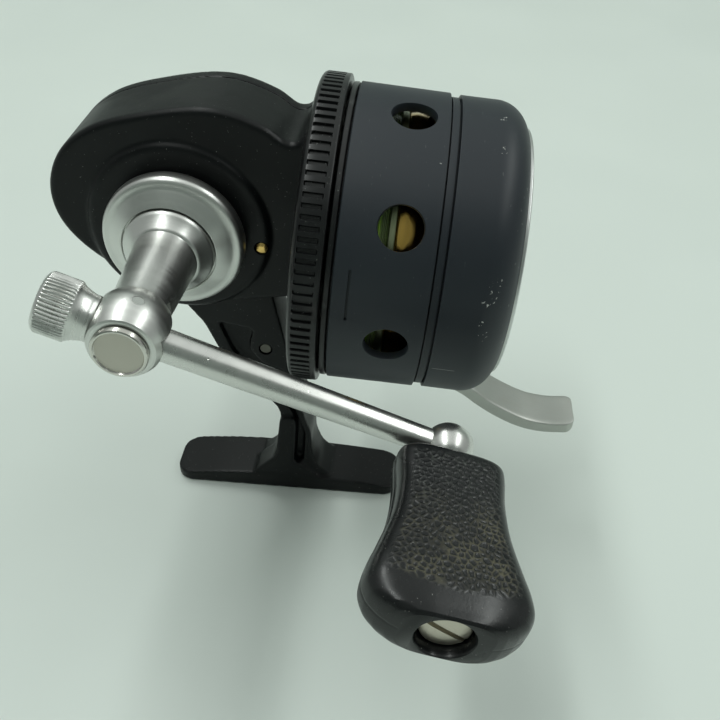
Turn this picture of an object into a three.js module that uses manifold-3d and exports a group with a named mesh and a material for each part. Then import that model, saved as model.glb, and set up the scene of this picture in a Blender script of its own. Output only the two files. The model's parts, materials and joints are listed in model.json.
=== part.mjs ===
// A spincast reel of the underspin kind: gear case, leg and foot in one casting, a closed
// front cover over a fixed spool and a turning spinner head, a folding crank on the -Y side,
// and a trigger lever between the reel and its foot. Millimetres, +Z up.
//
// The exported group's frame has its origin at the centre of the foot's flat face, +X along
// the foot towards the line exit. The reel's own axis is tilted a few degrees to the foot, so
// everything is built in the reel's frame (axis along +X, x = 0 at the drag ring's rear) and
// that whole group is turned and lifted once.
import * as THREE from "three";
import { mergeVertices } from "three/addons/utils/BufferGeometryUtils.js";
import Module from "manifold-3d";

const wasm = await Module();
wasm.setup();

// ---------------------------------------------------------------- driving dimensions

const REEL_TILT = THREE.MathUtils.degToRad(4); // the reel's nose leans towards the foot
const REEL_ORIGIN = new THREE.Vector3(6.36, 0, 76.64); // reel frame's origin in the foot's frame

const CLEAR = 0.3; // running or assembly gap between neighbours
const SNUG = 0.15; // gap round pins, shafts and bushes

const COVER_R = 32;
const COVER_REAR = 8.06;
const COVER_INNER_R = 30;
const WINDOW_R = 4.37;
const WINDOW_X = 19.7;
const WINDOW_COUNT = 8;
const WINDOW_PHASE = THREE.MathUtils.degToRad(34.3); // above the handle side

const RING_R = 33.3;
const RING_REAR = -0.24;
const RING_FRONT = 6;

const CASE_NEAR = -11; // gear case's handle-side face
const CASE_FAR = 6; // where the side cover is fitted
const CASE_WALL = 1.8;
const CASE_EDGE = 2; // rounding of the case's rim
const OUTLINE_POINTS = 30;

const SHAFT_R = 1.5;
const CRANK_X = -26; // handle axis in the reel frame
const CRANK_Z = 2.4;
const CRANK_SHAFT_R = 3;
const ARM_SLOPE = THREE.MathUtils.degToRad(-17); // arm's direction from +X at rest
const ARM_LENGTH = 62.6;
const KNUCKLE_S = 47.4; // distance of the arm's plane from the reel's middle plane
const KNUCKLE_R = 7.6; // across the knuckle, which is a little longer than it is wide
const KNUCKLE_HALF_LENGTH = 8.9;
const END_BALL_R = 4.9;

const GEAR_TEETH = 36;
const PINION_TEETH = 9;
const GEAR_TOOTH_IN = 10.8;
const GEAR_TOOTH_OUT = 13.2;

const SPOOL_REAR = 10.2;
const SPOOL_FRONT = 18.9;
const SPOOL_R = 27;
const LINE_R = 25;

const TRIGGER_PIVOT = [-8, -31.5]; // x, z
const TRIGGER_HALF_WIDTH = 5.5;
const SLOT_HALF_WIDTH = 2.6;

const FOOT_LENGTH = 60;
const FOOT_WIDTH = 14;
const FOOT_HEIGHT = 4.6;

// ---------------------------------------------------------------- materials

const finish = (color, roughness, metalness) =>
  new THREE.MeshStandardMaterial({ color, roughness, metalness });

const caseBlack = finish(0x15181a, 0.45, 0.2);
const ringBlack = finish(0x101214, 0.4, 0);
const coverBlue = finish(0x2c343c, 0.5, 0.4);
const turnedAluminium = finish(0xb9bcb8, 0.35, 1);
const polishedSteel = finish(0xc8c8c4, 0.2, 1);
const leverGrey = finish(0x9ba296, 0.4, 0.8);
const brass = finish(0xb08a3c, 0.3, 1);
const bronze = finish(0x8c6a3f, 0.45, 1);
const knobBlack = finish(0x1b1a17, 0.5, 0);
const lineGreen = finish(0x8fae2e, 0.5, 0);
const feltGrey = finish(0x6d6a62, 0.9, 0);
const nylonWhite = finish(0xd8d6cc, 0.6, 0);

// ---------------------------------------------------------------- shape helpers

// Keeps positions only, shares the vertices and turns the faces outwards.
function closed(geometry) {
  geometry.deleteAttribute("normal");
  geometry.deleteAttribute("uv");
  const merged = mergeVertices(geometry, 1e-4);
  const p = merged.attributes.position;
  const index = merged.index.array;
  const corner = [0, 1, 2].map(() => new THREE.Vector3());
  let volume = 0;
  for (let i = 0; i < index.length; i += 3) {
    corner.forEach((v, k) => v.fromBufferAttribute(p, index[i + k]));
    volume += corner[0].dot(corner[1].cross(corner[2]));
  }
  if (volume < 0) {
    for (let i = 0; i < index.length; i += 3) {
      [index[i + 1], index[i + 2]] = [index[i + 2], index[i + 1]];
    }
  }
  return merged;
}

// A three.js geometry as a manifold-3d solid, and back.
function solid(geometry) {
  const shape = closed(geometry);
  const mesh = new wasm.Mesh({
    numProp: 3,
    vertProperties: Float32Array.from(shape.attributes.position.array),
    triVerts: Uint32Array.from(shape.index.array),
  });
  return new wasm.Manifold(mesh);
}

function geometryOf(manifold) {
  const mesh = manifold.getMesh();
  const geometry = new THREE.BufferGeometry();
  geometry.setAttribute("position", new THREE.BufferAttribute(mesh.vertProperties, 3));
  geometry.setIndex(new THREE.BufferAttribute(mesh.triVerts, 1));
  return geometry;
}

// Turned shapes: a closed profile of [radius, distance along the axis] pairs.
function lathe(profile, segments) {
  const points = profile.map(([r, along]) => new THREE.Vector2(r, along));
  if (profile[0][0] > 0) points.push(points[0].clone());
  return new THREE.LatheGeometry(points, segments);
}

// Turned about the reel's axis: distances run along +X.
const onReelAxis = (profile, segments = 24) => lathe(profile, segments).rotateZ(-Math.PI / 2);

// Turned about the crank's axis: distances run towards the handle, along -Y.
const onCrankAxis = (profile, segments = 24) =>
  lathe(profile, segments)
    .rotateX(Math.PI)
    .translate(CRANK_X, 0, CRANK_Z);

// Turned about the arm's own line, from the knuckle's centre outwards along the arm.
const onArmAxis = (profile, segments = 16) =>
  lathe(profile, segments)
    .rotateZ(-Math.PI / 2)
    .rotateY(-ARM_SLOPE)
    .translate(CRANK_X, -KNUCKLE_S, CRANK_Z);

// A plain disc or tube profile between two distances.
const tube = (inner, outer, from, to) =>
  inner > 0
    ? [[inner, from], [outer, from], [outer, to], [inner, to]]
    : [[0, from], [outer, from], [outer, to], [0, to]];

// A cylinder across the reel, along Y, at (x, z).
const crossPin = (radius, x, z, yLow, yHigh, segments = 12) =>
  new THREE.CylinderGeometry(radius, radius, yHigh - yLow, segments).translate(
    x,
    (yLow + yHigh) / 2,
    z,
  );

// A side outline of [x, z] points, extruded across the reel between two y values.
function sidePlate(outline, yLow, yHigh, edge = 0) {
  const shape = new THREE.Shape(outline.map(([x, z]) => new THREE.Vector2(x, z)));
  const geometry = new THREE.ExtrudeGeometry(shape, {
    depth: yHigh - yLow - 2 * edge,
    bevelEnabled: edge > 0,
    bevelThickness: edge,
    bevelSize: edge,
    bevelOffset: -edge,
    bevelSegments: 2,
  });
  return geometry.rotateX(Math.PI / 2).translate(0, yHigh - edge, 0);
}

// Points on a smooth open curve through the given [x, z] points, moved inwards by inset.
function smoothOutline(points, count, inset = 0) {
  const curve = new THREE.CatmullRomCurve3(
    points.map(([x, z]) => new THREE.Vector3(x, z, 0)),
    false,
    "centripetal",
  );
  return Array.from({ length: count + 1 }, (_, i) => {
    const at = curve.getPointAt(i / count);
    const along = curve.getTangentAt(i / count);
    return [at.x + along.y * inset, at.y - along.x * inset];
  });
}

const box = (xLow, xHigh, yLow, yHigh, zLow, zHigh) =>
  new THREE.BoxGeometry(xHigh - xLow, yHigh - yLow, zHigh - zLow).translate(
    (xLow + xHigh) / 2,
    (yLow + yHigh) / 2,
    (zLow + zHigh) / 2,
  );

const union = (first, ...others) => others.reduce((sum, next) => sum.add(next), first);
const cut = (first, ...others) => others.reduce((rest, next) => rest.subtract(next), first);

// ---------------------------------------------------------------- the scene

const reel = new THREE.Group();
const works = new THREE.Group();
works.rotation.y = REEL_TILT;
works.position.copy(REEL_ORIGIN);
reel.add(works);

function part(name, shape, material, group = works) {
  const geometry = shape.isBufferGeometry ? closed(shape) : geometryOf(shape);
  const mesh = new THREE.Mesh(geometry, material);
  mesh.name = name;
  group.add(mesh);
  return mesh;
}

// ---------------------------------------------------------------- casting: case, leg, foot

// The gear case seen from the side: an egg that runs from the plate behind the drag ring
// under the gears, round the back and over the top, where it flares up to the plate again.
const CASE_FRONT = -0.6;
const CASE_OUTLINE = [
  [CASE_FRONT, -11.6],
  [-7.8, -13.2],
  [-18, -15.2],
  [-31, -13],
  [-44.5, -7.4],
  [-51.6, 0.2],
  [-53.2, 8],
  [-50.5, 16],
  [-44, 22.2],
  [-33, 26.6],
  [-19, 29.3],
  [-9, 27],
  [-4.4, 24.4],
  [-2.2, 24.8],
  [CASE_FRONT, 27],
];

// The leg's side view: wide under the case, a slanting neck, then flared into the foot.
const LEG_OUTLINE = [
  [-30, -10],
  [-26.9, -21],
  [-22.6, -26],
  [-19.4, -32.9],
  [-12.5, -41.5],
  [-4.6, -49.4],
  [-3.6, -52],
  [-3.8, -64],
  [-5.2, -69.5],
  [-9.5, -73.8],
  [-9.5, -76],
  [11.5, -74.5],
  [11.5, -72.4],
  [7, -69],
  [4.9, -64],
  [4.4, -57],
  [2.8, -53.3],
  [-1.6, -36],
  [-4.2, -25.8],
  [-8.3, -10],
];

const LEG_HALF_WIDTH = 5.6;
const BOSS_R = 18.5;
const BOSS_FACE = 12.2; // how far the boss round the collar stands from the middle plane

function footSolid() {
  // Built in the foot's own frame: a bar with rounded ends, thinner towards its tips.
  const half = FOOT_LENGTH / 2;
  const tip = 2.6;
  const outline = [
    [-half, 0],
    [half, 0],
    [half, tip],
    [half * 0.55, FOOT_HEIGHT - 0.5],
    [half * 0.2, FOOT_HEIGHT],
    [-half * 0.2, FOOT_HEIGHT],
    [-half * 0.55, FOOT_HEIGHT - 0.5],
    [-half, tip],
  ];
  const bar = solid(sidePlate(outline, -FOOT_WIDTH / 2, FOOT_WIDTH / 2));
  const planShape = new THREE.Shape();
  const round = 4.5;
  const w = FOOT_WIDTH / 2;
  planShape.moveTo(-half + round, -w);
  planShape.lineTo(half - round, -w);
  planShape.absarc(half - round, -w + round, round, -Math.PI / 2, 0);
  planShape.absarc(half - round, w - round, round, 0, Math.PI / 2);
  planShape.lineTo(-half + round, w);
  planShape.absarc(-half + round, w - round, round, Math.PI / 2, Math.PI);
  planShape.absarc(-half + round, -w + round, round, Math.PI, Math.PI * 1.5);
  const plan = new THREE.ExtrudeGeometry(planShape, {
    depth: 12,
    bevelEnabled: false,
    curveSegments: 5,
  });
  plan.translate(0, 0, -2);
  return bar.intersect(solid(plan));
}

// The foot is made level, then carried into the reel's frame, where the leg joins it.
const intoReelFrame = new THREE.Matrix4()
  .makeTranslation(REEL_ORIGIN)
  .multiply(new THREE.Matrix4().makeRotationY(REEL_TILT))
  .invert();

function bodyCasting() {
  const outline = smoothOutline(CASE_OUTLINE, OUTLINE_POINTS);
  const egg = solid(sidePlate(outline, CASE_NEAR, CASE_FAR, CASE_EDGE));
  const squareFar = solid(sidePlate(outline, 2, CASE_FAR));
  const boss = solid(
    onCrankAxis(
      [[0, 9], [BOSS_R + 1.4, 9], [BOSS_R + 1, 10.9], [BOSS_R, BOSS_FACE], [0, BOSS_FACE]],
      32,
    ),
  );
  const neck = solid(
    onReelAxis([
      [0, -12],
      [9, -12],
      [9, CASE_FRONT - 1.5],
      [19, CASE_FRONT],
      [27.5, CASE_FRONT],
      [27.5, 1.4],
      [30.2, 1.4],
      [30.2, 4.2],
      [11.7, 4.2],
      [11.7, 7.3],
      [0, 7.3],
    ]),
  );
  const leg = solid(sidePlate(LEG_OUTLINE, -LEG_HALF_WIDTH, LEG_HALF_WIDTH, 0.8));
  const foot = footSolid().transform(intoReelFrame.elements);
  const body = union(egg, squareFar, boss, neck, leg, foot);

  const cavity = solid(
    sidePlate(
      smoothOutline(CASE_OUTLINE, OUTLINE_POINTS, CASE_WALL),
      CASE_NEAR + CASE_WALL,
      CASE_FAR + 1,
    ),
  );
  const keepNeck = union(
    solid(onReelAxis(tube(0, 9, -9.2, 0))),
    solid(box(-3.4, 2, -30, 30, -35, 35)),
  );
  const crankBore = solid(onCrankAxis(tube(0, 4.6 + SNUG, 5, 14), 24));
  const pinionBore = solid(onReelAxis(tube(0, 5.9 + SNUG, -12, 3), 24));
  const sleeveBore = solid(onReelAxis(tube(0, 6.9 + SNUG, 2.8, 8), 24));
  const leverSlot = solid(
    sidePlate(
      [
        [-25.5, -8],
        [-25.5, -22],
        [-14.5, -31.5],
        [-11.5, -38],
        [4, -41],
        [4, -28.5],
        [-4.8, -27.4],
        [-14, -8],
      ],
      -SLOT_HALF_WIDTH,
      SLOT_HALF_WIDTH,
    ),
  );
  const pivotBore = solid(crossPin(1.5 + SNUG, ...TRIGGER_PIVOT, -8, 8));
  const lockPinBore = solid(crossPin(1.35 + SNUG, -8.5, 0.7, -14, -5));
  // Shallow pockets lighten both sides of the leg, between its rear rib and front flange.
  const pocket = [
    [-19.5, -26],
    [-15.8, -33.6],
    [-9.5, -41.4],
    [-1.9, -49.6],
    [-1.5, -66],
    [1.6, -66],
    [2.2, -57],
    [0.4, -53],
    [-3.8, -37],
    [-8.4, -36.2],
    [-12, -32],
    [-11, -26],
  ];
  const nearPocket = solid(sidePlate(pocket, -7, -3.6));
  const farPocket = solid(sidePlate(pocket, 3.6, 7));
  const screwBores = COVER_SCREWS.map(([x, z]) => solid(crossPin(1.25 + SNUG, x, z, 0.5, 8)));
  const screwPosts = COVER_SCREWS.map(([x, z]) =>
    solid(crossPin(3.2, x, z, CASE_NEAR + 1.5, CASE_FAR - 0.2)),
  );
  const shell = cut(body, cavity.subtract(keepNeck));
  return cut(
    union(shell, ...screwPosts),
    crankBore,
    pinionBore,
    sleeveBore,
    leverSlot,
    pivotBore,
    lockPinBore,
    nearPocket,
    farPocket,
    ...screwBores,
  );
}

// Three screws hold the side cover on the gear case.
const COVER_SCREWS = [
  [-42.5, 18],
  [-14, 22.2],
  [-45.5, -2.6],
];

part("body_casting", bodyCasting(), caseBlack);

const SIDE_COVER_FRONT = -3.6;
const coverOutline = smoothOutline(CASE_OUTLINE, OUTLINE_POINTS);
const screwSinks = COVER_SCREWS.map(([x, z]) => solid(crossPin(2.3 + SNUG, x, z, 8.6, 11)));
const screwHoles = COVER_SCREWS.map(([x, z]) => solid(crossPin(1.25 + SNUG, x, z, 6, 11)));
const farBoss = solid(onCrankAxis([[0, -10.8], [8.4, -10.8], [9.6, -9.4], [9.6, -7], [0, -7]], 24));
const farBore = solid(onCrankAxis(tube(0, 4.6 + SNUG, -9.2, 0), 24));
part(
  "side_cover",
  cut(
    solid(sidePlate(coverOutline, CASE_FAR + CLEAR, 10, 1)).add(farBoss),
    farBore,
    // the cover stops short of the plate behind the ring
    solid(box(SIDE_COVER_FRONT, 2, 0, 20, -40, 40)),
    solid(onReelAxis(tube(0, 9 + CLEAR, -13, 2))),
    ...screwSinks,
    ...screwHoles,
  ),
  caseBlack,
);

COVER_SCREWS.forEach(([x, z], i) => {
  const head = solid(crossPin(2.3, x, z, 8.75, 9.9));
  const shank = solid(crossPin(1.25, x, z, 1, 9));
  const slot = solid(box(x - 3, x + 3, 9.4, 11, z - 0.35, z + 0.35));
  part(`cover_screw_${i + 1}`, cut(head.add(shank), slot), polishedSteel);
});

// A brass pin through the near wall stops the pinion's bush from turning.
part("bush_lock_pin", crossPin(1.35, -8.5, 0.7, -11.3, -6.6), brass);

// ---------------------------------------------------------------- bushes and fixed works

part("pinion_bush", onReelAxis(tube(2.75, 5.9, -9, 2.5), 24), bronze);
part("crank_bush_near", onCrankAxis(tube(CRANK_SHAFT_R + SNUG, 4.6, 8.6, 12.1), 24), bronze);
part("crank_bush_far", onCrankAxis(tube(CRANK_SHAFT_R + SNUG, 4.6, -9, -5), 24), bronze);
part("trigger_pivot_pin", crossPin(1.5, ...TRIGGER_PIVOT, -5.3, 5.3), polishedSteel);

// The plate behind the cover, with the sleeve that the cover's bayonet locks on.
const DRAG_PIN_R = 20;
const dragPinAngles = [0, 1, 2].map((i) => (i * 2 * Math.PI) / 3 + 0.5);
const dragPin = (radius, from, to) => (angle) =>
  solid(
    onReelAxis(tube(0, radius, from, to), 12).translate(
      0,
      DRAG_PIN_R * Math.cos(angle),
      DRAG_PIN_R * Math.sin(angle),
    ),
  );
part(
  "body_plate",
  cut(
    solid(
      onReelAxis(
        [
          [12, 6.5],
          [31.8, 6.5],
          [31.8, 7.75],
          [29.4, 7.75],
          [29.4, 13],
          [28.2, 13],
          [28.2, 7.75],
          [12, 7.75],
        ],
        30,
      ),
    ),
    ...dragPinAngles.map(dragPin(1.5, 6, 9)),
  ),
  ringBlack,
);

part(
  "spool_sleeve",
  onReelAxis([
    [4.3, 3.1],
    [6.9, 3.1],
    [6.9, 8.05],
    [14.4, 8.05],
    [14.4, 9],
    [7, 9],
    [7, 25],
    [4.3, 25],
  ]),
  polishedSteel,
);
part("shaft_bush", onReelAxis(tube(SHAFT_R + SNUG, 4.15, 20, 24.8), 24), bronze);

// Drag: the ring's cam pushes a plate whose three pins press a steel disc and a felt washer
// against the spool.
part(
  "drag_pressure_plate",
  union(solid(onReelAxis(tube(12.2, 28, 4.7, 5.8))), ...dragPinAngles.map(dragPin(1.2, 5, 7.9))),
  polishedSteel,
);
part("drag_disc", onReelAxis(tube(15, 26, 8.1, 8.9)), polishedSteel);
part("drag_washer", onReelAxis(tube(15, 26, 9.15, 9.95)), feltGrey);

part(
  "drag_ring",
  onReelAxis(
    [
      [27.9, RING_REAR],
      [31.4, RING_REAR],
      [32.4, 0.2],
      [32.9, 1],
      [RING_R, 1.8],
      [RING_R, RING_FRONT - 0.3],
      [RING_R - 0.3, RING_FRONT],
      [30.6, RING_FRONT],
      [30.6, 1.1],
      [27.9, 1.1],
    ],
    36,
  ),
  ringBlack,
);

// ---------------------------------------------------------------- front cover

const NOSE_ROUND = { x: 36.6, r: 24.5, a: 7.1, b: 7.1 };

// The cover's rounded nose: points of a quarter ellipse from the side round to an angle.
function noseArc(grow, steps, degrees) {
  return Array.from({ length: steps + 1 }, (_, i) => {
    const t = (i / steps) * THREE.MathUtils.degToRad(degrees);
    return [
      NOSE_ROUND.r + (NOSE_ROUND.a + grow) * Math.cos(t),
      NOSE_ROUND.x + (NOSE_ROUND.b + grow) * Math.sin(t),
    ];
  });
}

const windowAngles = Array.from(
  { length: WINDOW_COUNT },
  (_, i) => WINDOW_PHASE + (i * 2 * Math.PI) / WINDOW_COUNT,
);

// A window is a round hole bored straight at the reel's axis.
const windowBore = (angle) =>
  solid(
    new THREE.CylinderGeometry(WINDOW_R, WINDOW_R, 10, 14)
      .translate(0, 31, 0)
      .rotateX(Math.PI)
      .rotateX(-angle)
      .translate(WINDOW_X, 0, 0),
  );

const indexLine = solid(
  new THREE.ExtrudeGeometry(
    new THREE.Shape()
      .absarc(0, 0, COVER_R + 1, Math.PI * 1.005, Math.PI * 0.898, true)
      .absarc(0, 0, COVER_R - 0.45, Math.PI * 0.898, Math.PI * 1.005, false),
    { depth: 0.55, bevelEnabled: false, curveSegments: 10 },
  )
    .rotateY(Math.PI / 2)
    .rotateX(Math.PI / 2)
    .translate(11, 0, 0),
);

part(
  "front_cover",
  cut(
    solid(
      onReelAxis(
        [
          [COVER_INNER_R, COVER_REAR],
          [COVER_R, COVER_REAR],
          [31.75, 26.7],
          [30.85, 26.9],
          [30.85, 28.8],
          [31.6, 29],
          ...noseArc(0, 4, 68),
          [26.95, 43.3],
          [26.95, 41.6],
          ...noseArc(-1.6, 3, 55).reverse(),
        ],
        40,
      ),
    ),
    indexLine,
    ...windowAngles.map(windowBore),
  ),
  coverBlue,
);

part(
  "face_plate",
  onReelAxis([
    [26.65, 41.8],
    [26.65, 43.7],
    [26.2, 44.1],
    [25.4, 44.1],
    [23.6, 43.1],
    [10, 41.4],
    [6.1, 41.2],
    [6.1, 39.9],
    [10, 40],
    [23.8, 41.7],
  ]),
  turnedAluminium,
);

const EYELET_SIDES = 10;
const eyeletProfile = Array.from({ length: EYELET_SIDES }, (_, i) => {
  const t = (i * 2 * Math.PI) / EYELET_SIDES;
  return [4.6 + 1.25 * Math.cos(t), 41.4 + 2.3 * Math.sin(t)];
});
part("line_guide", onReelAxis(eyeletProfile, 24), polishedSteel);

// ---------------------------------------------------------------- spool and line

part(
  "spool",
  onReelAxis([
    [7 + SNUG, SPOOL_REAR],
    [SPOOL_R, SPOOL_REAR],
    [SPOOL_R, SPOOL_REAR + 1.2],
    [14, SPOOL_REAR + 1.2],
    [14, SPOOL_FRONT - 1.5],
    [SPOOL_R, SPOOL_FRONT - 1.5],
    [SPOOL_R, SPOOL_FRONT],
    [7 + SNUG, SPOOL_FRONT],
  ]),
  turnedAluminium,
);
part(
  "wound_line",
  onReelAxis([
    [14 + CLEAR, SPOOL_REAR + 1.5],
    [LINE_R - 0.4, SPOOL_REAR + 1.5],
    [LINE_R, SPOOL_REAR + 3],
    [LINE_R, SPOOL_FRONT - 3],
    [LINE_R - 0.4, SPOOL_FRONT - 1.8],
    [14 + CLEAR, SPOOL_FRONT - 1.8],
  ]),
  lineGreen,
);

// ---------------------------------------------------------------- pinion, shaft, spinner head

function pinionGear() {
  const root = 2.3;
  const outer = 3.5;
  const toothHalfAngle = 0.105;
  const outline = [];
  for (let i = 0; i < PINION_TEETH; i += 1) {
    const mid = Math.PI + (i * 2 * Math.PI) / PINION_TEETH;
    const corners = [[root, -1.9], [outer, -1], [outer, 1], [root, 1.9]];
    corners.forEach(([r, side]) => {
      const angle = mid + side * toothHalfAngle;
      outline.push(new THREE.Vector2(r * Math.cos(angle), r * Math.sin(angle)));
    });
  }
  const section = new THREE.Shape(outline);
  const teeth = new THREE.ExtrudeGeometry(section, { depth: 5, bevelEnabled: false })
    .rotateY(Math.PI / 2)
    .rotateX(Math.PI / 2)
    .translate(-15.4, 0, 0);
  const journal = onReelAxis(tube(0, 2.6, -11, 2.6), 24);
  const bore = onReelAxis(tube(0, SHAFT_R + SNUG, -20, 5), 20);
  return cut(union(solid(teeth), solid(journal)), solid(bore));
}

part("pinion", pinionGear(), brass);

// The shaft slides in the pinion and turns with it. Its rear end meets the push link.
const SHAFT_REAR = -18.3;
const SHAFT_FRONT = 35;
part(
  "main_shaft",
  onReelAxis(
    [
      [0, SHAFT_REAR],
      [1.2, SHAFT_REAR],
      [SHAFT_R, SHAFT_REAR + 0.4],
      [SHAFT_R, SHAFT_FRONT - 0.4],
      [1.1, SHAFT_FRONT],
      [0, SHAFT_FRONT],
    ],
    20,
  ),
  polishedSteel,
);
part("shaft_clip", onReelAxis(tube(SHAFT_R + SNUG, 3.4, 3.4, 4.2), 20), polishedSteel);
part("shaft_spring", onReelAxis(tube(SHAFT_R + 0.5, 2.7, 4.6, 19.6), 16), polishedSteel);

const HEAD_REAR = 20.8;
const PIN_X = 24.4;
const PIN_ANGLE = THREE.MathUtils.degToRad(115); // where the pick-up pin stands round the axis

// Shapes that stand out from the reel axis at the pick-up pin's angle and place.
const onPinAxis = (profile, segments = 12) =>
  lathe(profile, segments)
    .rotateX(-Math.PI / 2)
    .rotateX(Math.PI / 2 - PIN_ANGLE)
    .rotateX(Math.PI)
    .translate(PIN_X, 0, 0);

part(
  "spinner_head",
  cut(
    solid(
      onReelAxis([
        [SHAFT_R + SNUG, 25.6],
        [4.2, 25.6],
        [5.2, 27.6],
        [20.5, 28.2],
        [24.6, 26.8],
        [26, 24.2],
        [25.9, HEAD_REAR],
        [26.9, HEAD_REAR],
        [27.3, 23.2],
        [26.6, 26.6],
        [24.4, 28.9],
        [20.5, 29.8],
        [6, 29.9],
        [4.6, 31],
        [SHAFT_R + SNUG, 31],
      ]),
    ),
    solid(onPinAxis(tube(0, 1 + SNUG, 21, 31))),
  ),
  brass,
);
const nutBlank = solid(onReelAxis(tube(0, 3.6, 31.3, 33.8), 6));
const nutBore = solid(onReelAxis(tube(0, SHAFT_R + SNUG, 30, 36), 16));
part("head_nut", cut(nutBlank, nutBore), polishedSteel);
part("pin_guide", onPinAxis(tube(1 + SNUG, 2.2, 20.4, 24.1)), brass);
part(
  "pickup_pin",
  onPinAxis([[0, 20], [1, 20], [1, 29], [0.6, 29.5], [0, 29.5]]),
  polishedSteel,
);

// ---------------------------------------------------------------- crank train

// Face-gear teeth lie along X where they meet the pinion, whose axis passes below the crank's.
function driveGear() {
  const bore = CRANK_SHAFT_R + SNUG;
  const disc = solid(
    onCrankAxis(
      [
        [bore, 4.4],
        [5.2, 4.4],
        [5.2, 5],
        [13.4, 5],
        [13.4, 7.6],
        [5.2, 7.6],
        [5.2, 8.1],
        [bore, 8.1],
      ],
      36,
    ),
  );
  const meshRadius = (GEAR_TOOTH_IN + GEAR_TOOTH_OUT) / 2;
  const meshAngle = Math.asin(CRANK_Z / meshRadius);
  const toothLength = GEAR_TOOTH_OUT - GEAR_TOOTH_IN;
  const teeth = Array.from({ length: GEAR_TEETH }, (_, i) => {
    const angle = ((i + 0.5) * 2 * Math.PI) / GEAR_TEETH;
    const tooth = new THREE.BoxGeometry(toothLength, 2.2, 0.75)
      .rotateY(meshAngle * -1)
      .translate(meshRadius, -4.2, 0)
      .rotateY(angle + meshAngle)
      .translate(CRANK_X, 0, CRANK_Z);
    return solid(tooth);
  });
  return union(disc, ...teeth);
}

const RATCHET_TEETH = 12;

function ratchetWheel() {
  const outline = [];
  for (let i = 0; i < RATCHET_TEETH; i += 1) {
    const start = (i * 2 * Math.PI) / RATCHET_TEETH;
    outline.push(new THREE.Vector2(8.4 * Math.cos(start), 8.4 * Math.sin(start)));
    const end = start + (1.85 * Math.PI) / RATCHET_TEETH;
    outline.push(new THREE.Vector2(6.6 * Math.cos(end), 6.6 * Math.sin(end)));
  }
  const section = new THREE.Shape(outline);
  const wheel = new THREE.ExtrudeGeometry(section, { depth: 2, bevelEnabled: false })
    .rotateX(Math.PI / 2)
    .translate(CRANK_X, 4.6, CRANK_Z);
  return cut(solid(wheel), solid(onCrankAxis(tube(0, CRANK_SHAFT_R + SNUG, -8, 8), 24)));
}

part(
  "crank_shaft",
  onCrankAxis([
    [0, -8.7],
    [2.6, -8.7],
    [CRANK_SHAFT_R, -8.3],
    [CRANK_SHAFT_R, 12.5],
    [2.4, 12.5],
    [2.4, 31.6],
    [0, 31.6],
  ]),
  polishedSteel,
);
part("drive_gear", driveGear(), brass);
part("ratchet_wheel", ratchetWheel(), polishedSteel);

// The pawl rests just off the ratchet and swings away from it about a pin in the case.
const PAWL_PIVOT = [-41, 1.2];
const pawlTip = [-33.9, -2.9];
const pawlBack = [PAWL_PIVOT[0] - 1.2, PAWL_PIVOT[1] + 2.2];
part("pawl_pin", crossPin(1.1, ...PAWL_PIVOT, -8.35, 5.6), polishedSteel);
part(
  "pawl",
  cut(
    solid(
      sidePlate(
        [
          pawlBack,
          [PAWL_PIVOT[0] - 2.4, PAWL_PIVOT[1] - 0.6],
          [PAWL_PIVOT[0] - 0.4, PAWL_PIVOT[1] - 2.5],
          [pawlTip[0] - 0.6, pawlTip[1] - 1.5],
          pawlTip,
          [PAWL_PIVOT[0] + 2.2, PAWL_PIVOT[1] + 1.2],
        ],
        2.7,
        4.5,
      ),
    ),
    solid(crossPin(1.1 + SNUG, ...PAWL_PIVOT, 0, 8)),
  ),
  polishedSteel,
);

// ---------------------------------------------------------------- handle

part(
  "handle_collar",
  onCrankAxis(
    [
      [2.4 + SNUG, 12.8],
      [12.2, 12.8],
      [14.2, 13.4],
      [14.7, 14.4],
      [14.7, 16],
      [14.3, 16.9],
      [13.4, 17.5],
      [9.8, 20.2],
      [9.6, 20],
      [9.6, 19.2],
      [2.4 + SNUG, 19.2],
    ],
    32,
  ),
  turnedAluminium,
);

const foldAxis = new THREE.Vector3(-Math.sin(ARM_SLOPE), 0, Math.cos(ARM_SLOPE));
const ontoFoldAxis = new THREE.Quaternion().setFromUnitVectors(
  new THREE.Vector3(0, 1, 0),
  foldAxis,
);

// A cylinder through the knuckle's centre, across the arm: the fold's hinge line.
const foldPin = (radius, halfLength) =>
  new THREE.CylinderGeometry(radius, radius, 2 * halfLength, 16)
    .applyQuaternion(ontoFoldAxis)
    .translate(CRANK_X, -KNUCKLE_S, CRANK_Z);

const armSlot = solid(
  new THREE.BoxGeometry(14, 11.2, 6.9)
    .translate(3.2, 2.1, 0)
    .rotateY(-ARM_SLOPE)
    .translate(CRANK_X, -KNUCKLE_S, CRANK_Z),
);

// The knuckle swells out of the stem and narrows again to the badge's seat.
const BADGE_SEAT_S = 52.5;
const knuckleProfile = () => {
  const middle = KNUCKLE_S - 0.2;
  const points = [[0, 40]];
  for (let s = 40; s < BADGE_SEAT_S; s += 1.25) {
    const reach = (s - middle) / KNUCKLE_HALF_LENGTH;
    points.push([KNUCKLE_R * Math.sqrt(1 - reach ** 2), s]);
  }
  return [...points, [5.9, BADGE_SEAT_S], [0, BADGE_SEAT_S]];
};

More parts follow.
